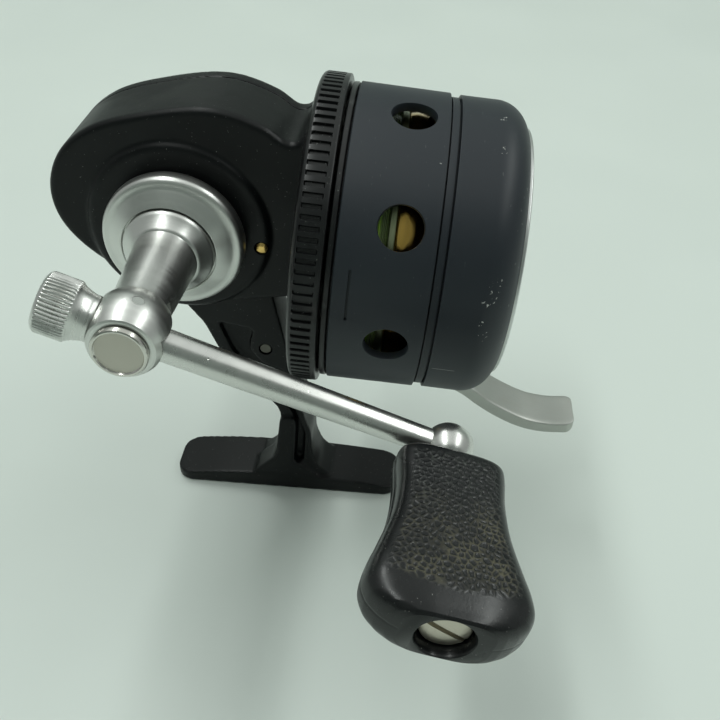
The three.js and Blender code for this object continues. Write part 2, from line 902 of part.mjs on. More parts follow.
part(
  "handle_stem",
  cut(
    union(
      solid(
        onCrankAxis([
          [0, 19.5],
          [9.3, 19.5],
          [9.3, 20.6],
          [8.9, 21],
          [7.1, 23.2],
          [6.6, 23.5],
          [6.5, 25],
          [5.6, 39.5],
          [5.6, 43],
          [0, 43],
        ]),
      ),
      solid(onCrankAxis(knuckleProfile(), 24)),
    ),
    armSlot,
    solid(onArmAxis(tube(0, 2.3, -12, -2))),
    solid(onArmAxis(tube(0, 4.8, -12, -5.9))),
    solid(foldPin(1.15, 9)),
    solid(onCrankAxis(tube(0, 2.4 + SNUG, 10, 32), 20)),
  ),
  turnedAluminium,
);
part("fold_pin", foldPin(1, 5.9), polishedSteel);
part(
  "handle_badge",
  onCrankAxis([[0, 52.8], [5.2, 52.8], [5.2, 53.5], [4.8, 53.9], [4.5, 53.7], [0, 53.7]]),
  polishedSteel,
);
part(
  "lock_screw",
  onArmAxis([
    [0, -17],
    [5.2, -17],
    [5.65, -16.5],
    [5.65, -10.6],
    [5.3, -10.2],
    [4.35, -7.4],
    [4.35, -6.15],
    [2, -6.15],
    [2, -3.7],
    [0, -3.7],
  ], 24),
  turnedAluminium,
);

const endBallPlace = new THREE.Vector3(
  CRANK_X + ARM_LENGTH * Math.cos(ARM_SLOPE),
  -KNUCKLE_S,
  CRANK_Z + ARM_LENGTH * Math.sin(ARM_SLOPE),
);

// Shapes turned about the knob's own axis: distances run outwards, along -Y.
const onKnobAxis = (profile, segments = 16) =>
  lathe(profile, segments)
    .rotateX(Math.PI)
    .translate(endBallPlace.x, 0, endBallPlace.z);

part(
  "crank_arm",
  cut(
    union(
      solid(new THREE.SphereGeometry(3.15, 16, 8).translate(CRANK_X, -KNUCKLE_S, CRANK_Z)),
      solid(onArmAxis([[0, 0], [3.1, 0], [3.1, 8], [2.5, ARM_LENGTH - 3], [0, ARM_LENGTH - 3]])),
      solid(new THREE.SphereGeometry(END_BALL_R, 18, 10).translate(...endBallPlace)),
    ),
    solid(foldPin(1.15, 9)),
    solid(onKnobAxis(tube(0, 1.9 + SNUG, 44, 60))),
  ),
  turnedAluminium,
);

part(
  "knob_screw",
  cut(
    solid(
      onKnobAxis([
        [0, 44.5],
        [1.9, 44.5],
        [1.9, 85.9],
        [4.3, 85.9],
        [4.3, 87.1],
        [3.9, 87.5],
        [0, 87.5],
      ]),
    ),
    solid(
      new THREE.BoxGeometry(10, 1.4, 1)
        .rotateY(THREE.MathUtils.degToRad(31))
        .translate(endBallPlace.x, -87.5, endBallPlace.z),
    ),
  ),
  polishedSteel,
);

// The knob is a flat paddle lofted along its axis: each station has a half width, a half
// thickness and a place, and its section is a rounded rectangle.
const KNOB_TURN = THREE.MathUtils.degToRad(10); // the paddle leans forward at rest
const KNOB_STATIONS = [
  [52.6, 9.4, 4.4],
  [53.4, 10.1, 5.4],
  [56, 10.2, 5.6],
  [62, 10, 5.7],
  [69, 10.7, 5.8],
  [76, 12.6, 5.9],
  [80, 13.8, 6],
  [83.4, 14, 6],
  [85.8, 13, 5.8],
  [87.6, 11.2, 5.6],
  [88.7, 9.2, 5.3],
  [89.2, 7.4, 5],
];
const KNOB_SIDES = 16;

function knobLoft() {
  const vertices = [];
  const squareness = 2 / 3.4; // exponent of the superellipse that rounds the section
  KNOB_STATIONS.forEach(([s, halfWidth, halfThick]) => {
    for (let i = 0; i < KNOB_SIDES; i += 1) {
      const t = (i * 2 * Math.PI) / KNOB_SIDES;
      const c = Math.cos(t);
      const n = Math.sin(t);
      vertices.push(
        halfWidth * Math.sign(c) * Math.abs(c) ** squareness,
        -s,
        halfThick * Math.sign(n) * Math.abs(n) ** squareness,
      );
    }
  });
  const faces = [];
  const rings = KNOB_STATIONS.length;
  for (let ring = 0; ring < rings - 1; ring += 1) {
    for (let i = 0; i < KNOB_SIDES; i += 1) {
      const a = ring * KNOB_SIDES + i;
      const b = ring * KNOB_SIDES + ((i + 1) % KNOB_SIDES);
      faces.push(a, a + KNOB_SIDES, b, b, a + KNOB_SIDES, b + KNOB_SIDES);
    }
  }
  const last = (rings - 1) * KNOB_SIDES;
  for (let i = 1; i < KNOB_SIDES - 1; i += 1) {
    faces.push(0, i, i + 1);
    faces.push(last, last + i + 1, last + i);
  }
  const geometry = new THREE.BufferGeometry();
  geometry.setAttribute("position", new THREE.Float32BufferAttribute(vertices, 3));
  geometry.setIndex(faces);
  return geometry.rotateY(KNOB_TURN).translate(endBallPlace.x, 0, endBallPlace.z);
}

part(
  "knob",
  cut(
    solid(knobLoft()),
    solid(onKnobAxis(tube(0, 2.9 + SNUG, 40, 85.4))),
    solid(onKnobAxis(tube(0, 4.7, 85.2, 92))),
  ),
  knobBlack,
);
part("knob_sleeve", onKnobAxis(tube(1.9 + SNUG, 2.9, 52.8, 85.1)), nylonWhite);

// ---------------------------------------------------------------- trigger

// The lever hugs the underside of the cover, then dips and curls up at the finger end.
const LEVER_TOP = [
  [2, -33.9],
  [36, -33.9],
  [40, -34.6],
  [43.1, -36],
  [47.1, -38.8],
  [51.7, -41.1],
  [57.2, -43.1],
  [62.4, -43.6],
  [66.1, -43.2],
  [68.7, -42.5],
];
const LEVER_UNDER = [
  [69.1, -44],
  [68.5, -45.7],
  [65.6, -46.4],
  [60.5, -46.8],
  [55.3, -46],
  [49.7, -43.8],
  [44.1, -40.7],
  [39.9, -37.8],
  [36, -36.4],
  [2, -36.4],
];
const LEVER_ARM = [
  [4, -33.9],
  [4, -36.4],
  [-7, -35],
  [-11.2, -31.6],
  [-21.4, -19.2],
  [-22.9, -16.6],
  [-22.6, -13.6],
  [-20.7, -13.6],
  [-20.7, -17],
  [-18, -19.2],
  [-7.4, -28.2],
  [-4.6, -29.8],
  [-3, -33.9],
];

// The finger end is squared off, with rounded corners and a slight bow, cut in plan.
const leverPlan = new THREE.Shape()
  .moveTo(1, -TRIGGER_HALF_WIDTH)
  .lineTo(66.4, -TRIGGER_HALF_WIDTH)
  .quadraticCurveTo(68.6, -TRIGGER_HALF_WIDTH, 68.9, 2.4 - TRIGGER_HALF_WIDTH)
  .quadraticCurveTo(69.6, 0, 68.9, TRIGGER_HALF_WIDTH - 2.4)
  .quadraticCurveTo(68.6, TRIGGER_HALF_WIDTH, 66.4, TRIGGER_HALF_WIDTH)
  .lineTo(1, TRIGGER_HALF_WIDTH);
const leverBlank = solid(
  new THREE.ExtrudeGeometry(leverPlan, {
    depth: 20,
    bevelEnabled: false,
    curveSegments: 6,
  }).translate(0, 0, -50),
);
part(
  "trigger_lever",
  cut(
    union(
      solid(sidePlate([...LEVER_TOP, ...LEVER_UNDER], -8, 8)).intersect(leverBlank),
      solid(sidePlate(LEVER_ARM, -SLOT_HALF_WIDTH + 0.4, SLOT_HALF_WIDTH - 0.4)),
    ),
    solid(crossPin(1.5 + SNUG, ...TRIGGER_PIVOT, -8, 8)),
  ),
  leverGrey,
);

// The link stands in front of the lever's inner arm and behind the main shaft. It is thin
// enough to stay behind the pinion at full pull.
const LINK_REAR = -20.2;
const LINK_THICKNESS = 1.4;
part(
  "push_link",
  box(LINK_REAR, LINK_REAR + LINK_THICKNESS, -2, 2, -15.6, 2.6),
  polishedSteel,
);

export default reel;
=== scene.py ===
"""The looks of an underspin spincast reel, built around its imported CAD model.

Shapes are made in the reel's own frame, in millimetres: x runs along the reel's axis towards
the line exit and starts at the drag ring's rear, the handle is on the -Y side, and z is up.
One matrix, worked out from the frame's joints, carries them into the CAD frame in metres.
"""
import json
import math
import random

import bpy
import numpy as np
from mathutils import Matrix, Vector, kdtree


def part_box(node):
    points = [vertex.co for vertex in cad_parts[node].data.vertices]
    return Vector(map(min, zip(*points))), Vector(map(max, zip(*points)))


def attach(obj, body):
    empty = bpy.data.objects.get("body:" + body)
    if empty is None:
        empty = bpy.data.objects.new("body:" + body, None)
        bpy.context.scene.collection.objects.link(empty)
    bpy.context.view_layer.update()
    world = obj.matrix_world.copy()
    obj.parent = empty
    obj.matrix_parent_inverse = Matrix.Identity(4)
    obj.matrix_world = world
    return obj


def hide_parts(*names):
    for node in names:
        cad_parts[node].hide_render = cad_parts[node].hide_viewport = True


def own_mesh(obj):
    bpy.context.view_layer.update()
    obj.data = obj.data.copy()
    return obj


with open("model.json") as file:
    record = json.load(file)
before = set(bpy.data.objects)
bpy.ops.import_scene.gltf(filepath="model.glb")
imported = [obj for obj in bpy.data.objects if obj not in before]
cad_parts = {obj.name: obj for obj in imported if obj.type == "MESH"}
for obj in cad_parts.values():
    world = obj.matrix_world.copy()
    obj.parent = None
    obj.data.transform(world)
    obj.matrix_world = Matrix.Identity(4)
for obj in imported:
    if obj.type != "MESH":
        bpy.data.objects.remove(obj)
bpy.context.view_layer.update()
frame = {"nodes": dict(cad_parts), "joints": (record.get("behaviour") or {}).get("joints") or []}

# ------------------------------------------------------------------ the reel's frame

MM = 0.001
JOINTS = {joint["name"]: joint for joint in frame["joints"]}

SHAFT_AXIS = Vector(JOINTS["pinion_spin"]["axis"])
REEL = (
    Matrix.Translation(JOINTS["pinion_spin"]["pos_m"])
    @ Matrix.Rotation(math.asin(-SHAFT_AXIS.z), 4, "Y")
    @ Matrix.Scale(MM, 4)
)
TO_REEL = REEL.inverted()


def in_reel(joint_name):
    """A joint's position in the reel's frame, in millimetres."""
    return TO_REEL @ Vector(JOINTS[joint_name]["pos_m"])


CRANK = in_reel("crank_spin")
KNUCKLE = in_reel("lock_screw_turn")
END_BALL = in_reel("knob_spin")
TRIGGER_PIVOT = in_reel("trigger_pull")
ARM_LENGTH = (END_BALL - KNUCKLE).length
ARM_TURN = math.atan2(KNUCKLE.z - END_BALL.z, END_BALL.x - KNUCKLE.x)

# Each turned shape has its profile along local +X, and one of these places it.
TOWARDS_HANDLE = Matrix.Rotation(-math.pi / 2, 4, "Z")


def across(x, z):
    """Places what is turned about a line across the reel, through (x, z)."""
    return Matrix.Translation((x, 0, z)) @ TOWARDS_HANDLE


ON_SHAFT = Matrix.Identity(4)
ON_CRANK = across(CRANK.x, CRANK.z)
ON_ARM = Matrix.Translation(KNUCKLE) @ Matrix.Rotation(ARM_TURN, 4, "Y")
ON_KNOB = across(END_BALL.x, END_BALL.z)
ON_FOLD = ON_ARM @ Matrix.Rotation(-math.pi / 2, 4, "Y")
PICKUP_ANGLE = math.radians(115)
ON_PICKUP = Matrix.Rotation(math.pi - PICKUP_ANGLE, 4, "X") @ Matrix.Rotation(-math.pi / 2, 4, "Y")

# ------------------------------------------------------------------ driving dimensions, mm

RING_R = 33.3
RING_REAR = -0.24
RING_FRONT = 6.0
RIDGE_COUNT = 101
RIDGE_HEIGHT = 0.55

COVER_R = 32.0
COVER_REAR = 8.06
COVER_INNER_R = 30.0
NOSE_X = 36.6
NOSE_R = 24.5
NOSE_ROUND = 7.1
WINDOW_R = 4.37
WINDOW_X = 19.7
WINDOW_COUNT = 8
WINDOW_PHASE = math.radians(34.3)

CASE_NEAR = -11.0
CASE_FAR = 6.0
CASE_WALL = 1.8
CASE_EDGE = 1.3
CASE_FRONT = -0.6
BOSS_R = 18.5
BOSS_FACE = 12.2
NECK_R = 27.5
SPIGOT_R = 9.0
CRANK_BORE_R = 4.75
PIVOT_BORE_R = 1.65
LEG_HALF_WIDTH = 5.6
SLOT_HALF_WIDTH = 2.6
SIDE_COVER_FACE = 10.0
SIDE_COVER_FRONT = -1.0
COVER_SCREWS = [(-42.5, 18.0), (-14.0, 22.2), (-45.5, -2.6)]
SCREW_HOLE_R = 1.4
LOCK_PIN = (-8.5, 0.7)

KNUCKLE_S = -KNUCKLE.y
KNUCKLE_R = 7.6
KNUCKLE_HALF_LENGTH = 8.9
SWELL_FROM_S = 39.5
BADGE_SEAT_S = 52.5
FOLD_BORE_R = 1.15
END_BALL_R = 4.9
KNURL_COUNT = 44

FOOT_LENGTH = 60.0
FOOT_WIDTH = 14.0
FOOT_HEIGHT = 4.6
FOOT_CORNER = 4.5

SPOOL_REAR = 10.2
SPOOL_FRONT = 18.9
SPOOL_R = 27.0
REAR_FLANGE = 1.2
FRONT_FLANGE = 1.5
LINE_R = 26.2
LINE_PITCH = 0.36

KNOB_TURN = math.radians(10)
KNOB_SLOT_TURN = math.radians(31)
PEBBLE_PITCH = 1.15
PEBBLE_HEIGHT = 0.14
PEBBLES_FROM = 52
PEBBLED_LENGTH = 38
PEBBLED_WIDTH = 30

# ------------------------------------------------------------------ mesh helpers


def link(name, data):
    """A new object of the scene with this data."""
    obj = bpy.data.objects.new(name, data)
    bpy.context.scene.collection.objects.link(obj)
    return obj


def make_object(name, vertices, faces, place=ON_SHAFT):
    """A mesh object in the reel's frame, with its faces pointing out."""
    mesh = bpy.data.meshes.new(name)
    mesh.from_pydata([tuple(v) for v in vertices], [], faces)
    mesh.transform(place)
    if signed_volume(mesh) < 0:
        mesh.flip_normals()
    return link(name, mesh)


def signed_volume(mesh):
    """Six times the volume, below 0 where the faces point inwards."""
    mesh.calc_loop_triangles()
    corners = np.zeros(len(mesh.vertices) * 3)
    mesh.vertices.foreach_get("co", corners)
    corners = corners.reshape(-1, 3)
    triangles = np.zeros(len(mesh.loop_triangles) * 3, dtype=np.int64)
    mesh.loop_triangles.foreach_get("vertices", triangles)
    a, b, c = (corners[triangles.reshape(-1, 3)[:, k]] for k in range(3))
    return float(np.einsum("ij,ij->i", a, np.cross(b, c)).sum())


def quarter(steps):
    """Angles from 0 to a right angle, in even steps."""
    return [math.pi / 2 * k / steps for k in range(steps + 1)]


def soften(points, radius, closed=True, steps=4):
    """A line of 2D points with each corner rounded by a short curve."""
    points = [Vector(p) for p in points]
    count = len(points)
    result = []
    for i, corner in enumerate(points):
        if not closed and i in (0, count - 1):
            result.append(tuple(corner))
            continue
        before = points[i - 1] - corner
        after = points[(i + 1) % count] - corner
        reach = min(radius, 0.42 * before.length, 0.42 * after.length)
        start = corner + before.normalized() * reach
        end = corner + after.normalized() * reach
        for k in range(steps + 1):
            t = k / steps
            result.append(tuple(start * (1 - t) ** 2 + corner * (2 * t * (1 - t)) + end * t**2))
    return result


def turned(name, profile, place=ON_SHAFT, segments=160, relief=None):
    """A solid of revolution from [radius, distance] pairs, closed or from axis to axis.
    relief(radius, distance, angle) gives a change of radius, for ridges and knurls."""
    angles = np.linspace(0, 2 * math.pi, segments, endpoint=False)
    vertices = []
    rings = []
    for radius, along in profile:
        if radius <= 1e-9:
            rings.append([len(vertices)])
            vertices.append((along, 0.0, 0.0))
            continue
        rings.append(list(range(len(vertices), len(vertices) + segments)))
        for angle in angles:
            r = radius + (relief(radius, along, angle) if relief else 0.0)
            vertices.append((along, r * math.cos(angle), r * math.sin(angle)))
    on_axis = profile[0][0] <= 1e-9
    pairs = list(zip(rings, rings[1:] if on_axis else rings[1:] + rings[:1]))
    faces = []
    for low, high in pairs:
        for k in range(segments):
            n = (k + 1) % segments
            if len(low) == 1:
                faces.append((low[0], high[k], high[n]))
            elif len(high) == 1:
                faces.append((low[k], high[0], low[n]))
            else:
                faces.append((low[k], high[k], high[n], low[n]))
    return make_object(name, vertices, faces, place)


def disc(name, radius, start, end, place=ON_SHAFT, bevel=0.0, segments=64):
    """A plain turned pin or bore, with chamfered ends if bevel isn't 0."""
    if bevel:
        profile = [(0, start), (radius - bevel, start), (radius, start + bevel)]
        profile += [(radius, end - bevel), (radius - bevel, end), (0, end)]
    else:
        profile = [(0, start), (radius, start), (radius, end), (0, end)]
    return turned(name, profile, place, segments)


def loft(name, sections, place=ON_SHAFT):
    """A closed skin over sections with the same number of points, with a cap on each end."""
    count = len(sections[0])
    vertices = [point for section in sections for point in section]
    faces = []
    for ring in range(len(sections) - 1):
        for k in range(count):
            n = (k + 1) % count
            a, b = ring * count, (ring + 1) * count
            faces.append((a + k, b + k, b + n, a + n))
    faces.append(tuple(range(count)))
    last = (len(sections) - 1) * count
    faces.append(tuple(last + k for k in reversed(range(count))))
    return make_object(name, vertices, faces, place)


def side_plate(name, outline, y_low, y_high):
    """A side outline of (x, z) points, carried across the reel between two y values."""
    return loft(name, [[(x, y, z) for x, z in outline] for y in (y_low, y_high)])


def block(name, x, y, z, place=ON_SHAFT):
    """A box between pairs of x, y and z values."""
    corners = [(x[0], z[0]), (x[1], z[0]), (x[1], z[1]), (x[0], z[1])]
    piece = side_plate(name, corners, *y)
    piece.data.transform(place)
    return piece


def ball(name, centre, radius, segments=96):
    half = segments // 2
    profile = [
        (radius * math.sin(math.pi * k / half), -radius * math.cos(math.pi * k / half))
        for k in range(half + 1)
    ]
    profile[0] = (0, -radius)
    profile[-1] = (0, radius)
    return turned(name, profile, Matrix.Translation(centre) @ TOWARDS_HANDLE, segments)


def cross_pin(name, radius, x, z, y_low, y_high, segments=48):
    """A plain pin across the reel at (x, z)."""
    return disc(name, radius, -y_high, -y_low, across(x, z), 0, segments)


def smooth_line(points, count, inset=0.0):
    """Evenly spaced points on a smooth open curve through 2D points, moved by inset."""
    p = np.array(points, float)
    p = np.vstack([2 * p[0] - p[1], p, 2 * p[-1] - p[-2]])
    dense = []
    for i in range(1, len(p) - 2):
        knots = [0.0]
        for a, b in ((i - 1, i), (i, i + 1), (i + 1, i + 2)):
            knots.append(knots[-1] + math.sqrt(np.linalg.norm(p[b] - p[a])))
        t0, t1, t2, t3 = knots
        for t in np.linspace(t1, t2, 24, endpoint=i == len(p) - 3):
            a1 = (t1 - t) / (t1 - t0) * p[i - 1] + (t - t0) / (t1 - t0) * p[i]
            a2 = (t2 - t) / (t2 - t1) * p[i] + (t - t1) / (t2 - t1) * p[i + 1]
            a3 = (t3 - t) / (t3 - t2) * p[i + 1] + (t - t2) / (t3 - t2) * p[i + 2]
            b1 = (t2 - t) / (t2 - t0) * a1 + (t - t0) / (t2 - t0) * a2
            b2 = (t3 - t) / (t3 - t1) * a2 + (t - t1) / (t3 - t1) * a3
            dense.append((t2 - t) / (t2 - t1) * b1 + (t - t1) / (t2 - t1) * b2)
    dense = np.array(dense)
    reach = np.concatenate([[0], np.cumsum(np.linalg.norm(np.diff(dense, axis=0), axis=1))])
    even = np.linspace(0, reach[-1], count + 1)
    line = np.stack([np.interp(even, reach, dense[:, k]) for k in (0, 1)], axis=1)
    tangent = np.gradient(line, axis=0)
    tangent /= np.linalg.norm(tangent, axis=1)[:, None]
    normal = np.stack([tangent[:, 1], -tangent[:, 0]], axis=1)
    return [tuple(v) for v in line + normal * inset]


def tree_of(points):
    """A search tree over 3D points."""
    tree = kdtree.KDTree(len(points))
    for k, point in enumerate(points):
        tree.insert(point, k)
    tree.balance()
    return tree


def apply_modifiers(obj):
    graph = bpy.context.evaluated_depsgraph_get()
    mesh = bpy.data.meshes.new_from_object(obj.evaluated_get(graph))
    old = obj.data
    obj.modifiers.clear()
    obj.data = mesh
    bpy.data.meshes.remove(old)
    return obj


def combine(piece, others, operation):
    """Joins or cuts a closed piece with others, which are used up."""
    for other in others:
        modifier = piece.modifiers.new(operation, "BOOLEAN")
        modifier.operation = operation
        modifier.solver = "MANIFOLD"
        modifier.object = other
    apply_modifiers(piece)
    for other in others:
        mesh = other.data
        bpy.data.objects.remove(other)
        bpy.data.meshes.remove(mesh)
    return piece


def join(piece, *others):
    return combine(piece, others, "UNION")


def carve(piece, *others):
    return combine(piece, others, "DIFFERENCE")


def cast(piece, voxel, passes):
    """Gives a joined shape the soft inner and outer corners of a die casting."""
    remesh = piece.modifiers.new("remesh", "REMESH")
    remesh.mode = "VOXEL"
    remesh.voxel_size = voxel
    smooth = piece.modifiers.new("smooth", "SMOOTH")
    smooth.factor = 0.5
    smooth.iterations = passes
    return apply_modifiers(piece)


def paint(mesh, surface):
    mesh.materials.clear()
    mesh.materials.append(surface.material)


def finish_piece(obj, body, surface, nodes, sharp=32):
    """Carries a finished shape into the CAD frame, hangs it on its body and hides the CAD nodes it
    stands for.
    """
    obj.data.transform(REEL)
    paint(obj.data, surface)
    obj.data.shade_smooth()
    obj.data.set_sharp_from_angle(angle=math.radians(sharp))
    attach(obj, body)
    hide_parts(*nodes)
    return obj


# ------------------------------------------------------------------ material helpers


class Surface:
    """A principled material with short ways to add nodes. Object coordinates are metres."""

    def __init__(self, name, base, roughness, metallic=0.0, **fixed):
        self.material = bpy.data.materials.new(name)
        self.material.use_nodes = True
        self.tree = self.material.node_tree
        self.shader = self.tree.nodes["Principled BSDF"]
        self.base = (*base, 1.0)
        self.rough = roughness
        self.shader.inputs["Base Color"].default_value = self.base
        self.shader.inputs["Roughness"].default_value = roughness
        self.shader.inputs["Metallic"].default_value = metallic
        for socket, value in fixed.items():
            self.shader.inputs[socket.replace("_", " ")].default_value = value
        self.place = self.node("ShaderNodeTexCoord").outputs["Object"]
        self.normal = None

    def node(self, kind, **settings):
        node = self.tree.nodes.new(kind)
        for key, value in settings.items():
            setattr(node, key, value)
        return node

    def feed(self, socket, value):
        if isinstance(value, bpy.types.NodeSocket):
            self.tree.links.new(value, socket)
        else:
            socket.default_value = value

    def math(self, operation, a, b=0.0):
        node = self.node("ShaderNodeMath", operation=operation)
        self.feed(node.inputs[0], a)
        self.feed(node.inputs[1], b)
        return node.outputs[0]

    def vector(self, operation, a, b=(0, 0, 0)):
        node = self.node("ShaderNodeVectorMath", operation=operation)
        self.feed(node.inputs[0], a)
        self.feed(node.inputs[1], b)
        scalar = operation in ("DOT_PRODUCT", "LENGTH", "DISTANCE")
        return node.outputs["Value"] if scalar else node.outputs["Vector"]

    def stretched(self, place, scale):
        return self.vector("MULTIPLY", place, scale)

    def noise(self, scale, detail, place=None):
        node = self.node("ShaderNodeTexNoise")
        self.feed(node.inputs["Vector"], place or self.place)
        node.inputs["Scale"].default_value = scale
        node.inputs["Detail"].default_value = detail
        return node.outputs["Fac"]

    def cells(self, scale):
        node = self.node("ShaderNodeTexVoronoi")
        self.feed(node.inputs["Vector"], self.place)
        node.inputs["Scale"].default_value = scale
        return node.outputs["Distance"]

    def span(self, value, low, high, to_low=0.0, to_high=1.0):
        node = self.node("ShaderNodeMapRange", interpolation_type="SMOOTHSTEP")
        self.feed(node.inputs["Value"], value)
        node.inputs["From Min"].default_value = low
        node.inputs["From Max"].default_value = high
        node.inputs["To Min"].default_value = to_low
        node.inputs["To Max"].default_value = to_high
        return node.outputs["Result"]

    def patches(self, scale, detail, low, high, most=1.0):
        """Soft-edged blotches, from 0 to most."""
        return self.span(self.noise(scale, detail), low, high, 0, most)

    def colour(self, amount, other):
        """Mixes another colour over the base by amount."""
        node = self.node("ShaderNodeMix", data_type="RGBA")
        self.feed(node.inputs["Factor"], amount)
        self.feed(node.inputs["A"], self.base)
        self.feed(node.inputs["B"], (*other, 1.0))
        self.base = node.outputs["Result"]
        self.feed(self.shader.inputs["Base Color"], self.base)

    def roughen(self, amount, other):
        """Mixes another roughness over the one so far by amount."""
        node = self.node("ShaderNodeMix", data_type="FLOAT")
        self.feed(node.inputs["Factor"], amount)
        self.feed(node.inputs["A"], self.rough)
        self.feed(node.inputs["B"], other)
        self.rough = node.outputs["Result"]
        self.feed(self.shader.inputs["Roughness"], self.rough)

    def bump(self, height, depth_mm):
        node = self.node("ShaderNodeBump")
        node.inputs["Strength"].default_value = 1.0
        node.inputs["Distance"].default_value = depth_mm * MM
        self.feed(node.inputs["Height"], height)
        if self.normal:
            self.feed(node.inputs["Normal"], self.normal)
        self.normal = node.outputs["Normal"]
        self.feed(self.shader.inputs["Normal"], self.normal)

    def convex_edges(self, low, high):
        return self.span(self.node("ShaderNodeNewGeometry").outputs["Pointiness"], low, high)

    def round_axis(self, place):
        """(distance along, distance from) the axis of a turned shape, in metres."""
        world = REEL @ place
        origin = world.to_translation()
        axis = (world.to_3x3() @ Vector((1, 0, 0))).normalized()
        offset = self.vector("SUBTRACT", self.place, tuple(origin))
        along = self.vector("DOT_PRODUCT", offset, tuple(axis))
        node = self.node("ShaderNodeVectorMath", operation="SCALE")
        node.inputs[0].default_value = tuple(axis)
        self.feed(node.inputs["Scale"], along)
        off_axis = self.vector("SUBTRACT", offset, node.outputs["Vector"])
        return along, self.vector("LENGTH", off_axis)

    def turned_place(self, place):
        """The distance along a turned shape, and a place for noise that is the same all round."""
        along, radius = self.round_axis(place)
        pair = self.node("ShaderNodeCombineXYZ")
        self.feed(pair.inputs[0], along)
        self.feed(pair.inputs[1], radius)
        return along, pair.outputs[0]


def turning_marks(surface, place, depth_mm, rough_low, rough_high):
    """The fine rings that a lathe tool leaves, with bands of slightly different polish."""
    _, rings = surface.turned_place(place)
    surface.bump(surface.noise(9000, 3, rings), depth_mm)
    bands = surface.span(surface.noise(1800, 4, rings), 0.35, 0.65)
    surface.roughen(bands, rough_high)
    dull = surface.span(surface.noise(3500, 2, rings), 0.55, 0.8, 0, 0.12)
    surface.colour(dull, (0.5, 0.5, 0.49))
    smudges = surface.patches(160, 3, 0.5, 0.75, 0.5)
    surface.roughen(smudges, (rough_low + rough_high) / 2 + 0.08)


def painted(name, base, roughness, peel_mm, dust, specular):
    """Satin black paint over a casting: faint orange peel, uneven sheen, dust and rubbed edges."""
    surface = Surface(name, base, roughness, Specular_IOR_Level=specular)
    surface.bump(surface.noise(520, 2), peel_mm)
    surface.bump(surface.noise(3200, 2), peel_mm * 0.16)
    surface.roughen(surface.patches(90, 4, 0.4, 0.7), roughness + 0.12)
    specks = surface.patches(2600, 1, 0.74, 0.8, dust)
    surface.colour(specks, (0.35, 0.36, 0.34))
    rubbed = surface.math("MULTIPLY", surface.convex_edges(0.56, 0.68), surface.noise(700, 4))
    surface.colour(surface.span(rubbed, 0.3, 0.6, 0, 0.3), (0.10, 0.105, 0.105))
    return surface


def turned_metal(name, place, base, low, high, depth_mm=0.006):
    """Bare metal off the lathe, with its roughness between low and high."""
    surface = Surface(name, base, low, 1.0)
    turning_marks(surface, place, depth_mm, low, high)
    return surface


def polished(name, base, roughness):
    """Bright plated or polished metal with faint smears and hairline marks."""
    surface = Surface(name, base, roughness, 1.0)
    surface.roughen(surface.patches(240, 4, 0.45, 0.7), roughness + 0.14)
    hair = surface.noise(1, 3, surface.stretched(surface.place, (5200, 600, 5200)))
    surface.bump(hair, 0.004)
    tarnish = surface.patches(420, 5, 0.56, 0.8, 0.5)
    surface.colour(tarnish, tuple(0.55 * c for c in base))
    return surface


# ------------------------------------------------------------------ materials

case_paint = painted("case_paint", (0.0038, 0.0046, 0.0050), 0.34, 0.022, 0.35, 0.24)
ring_plastic = painted("ring_plastic", (0.0056, 0.0062, 0.0066), 0.28, 0.008, 0.7, 0.42)
# painted shade: steel darkened for pieces seen only deep in gaps, slots and recesses
shade_dark_steel = polished("steel_in_painted_shade", (0.12, 0.115, 0.10), 0.32)

steel = polished("steel", (0.72, 0.72, 0.70), 0.16)
brass = polished("brass_metal", (0.83, 0.56, 0.19), 0.17)
bronze = polished("bronze_metal", (0.50, 0.33, 0.17), 0.3)


# where the cover is scuffed: distance along the axis, angle above the handle side, reach
SCUFFS = [
    (38.6, 18, 2.4), (38.0, 13.5, 2.6), (39.4, 20, 1.6), (37.9, -0.8, 2.2), (37.2, 4.5, 1.4),
    (37.3, 84.6, 1.8), (37.4, 67, 2.0), (25.6, 58.6, 0.9),
]
SCRATCH_X = 32.0
SCRATCH_ANGLE = -21.5


def on_cover(x, angle, radius):
    """A spot and the direction round the cover there, in the CAD frame; angle in degrees."""
    turn = math.pi - math.radians(angle)
    c, s = math.cos(turn), math.sin(turn)
    round_cover = (REEL.to_3x3() @ Vector((0, -s, c))).normalized()
    return tuple(REEL @ Vector((x, radius * c, radius * s))), tuple(round_cover)


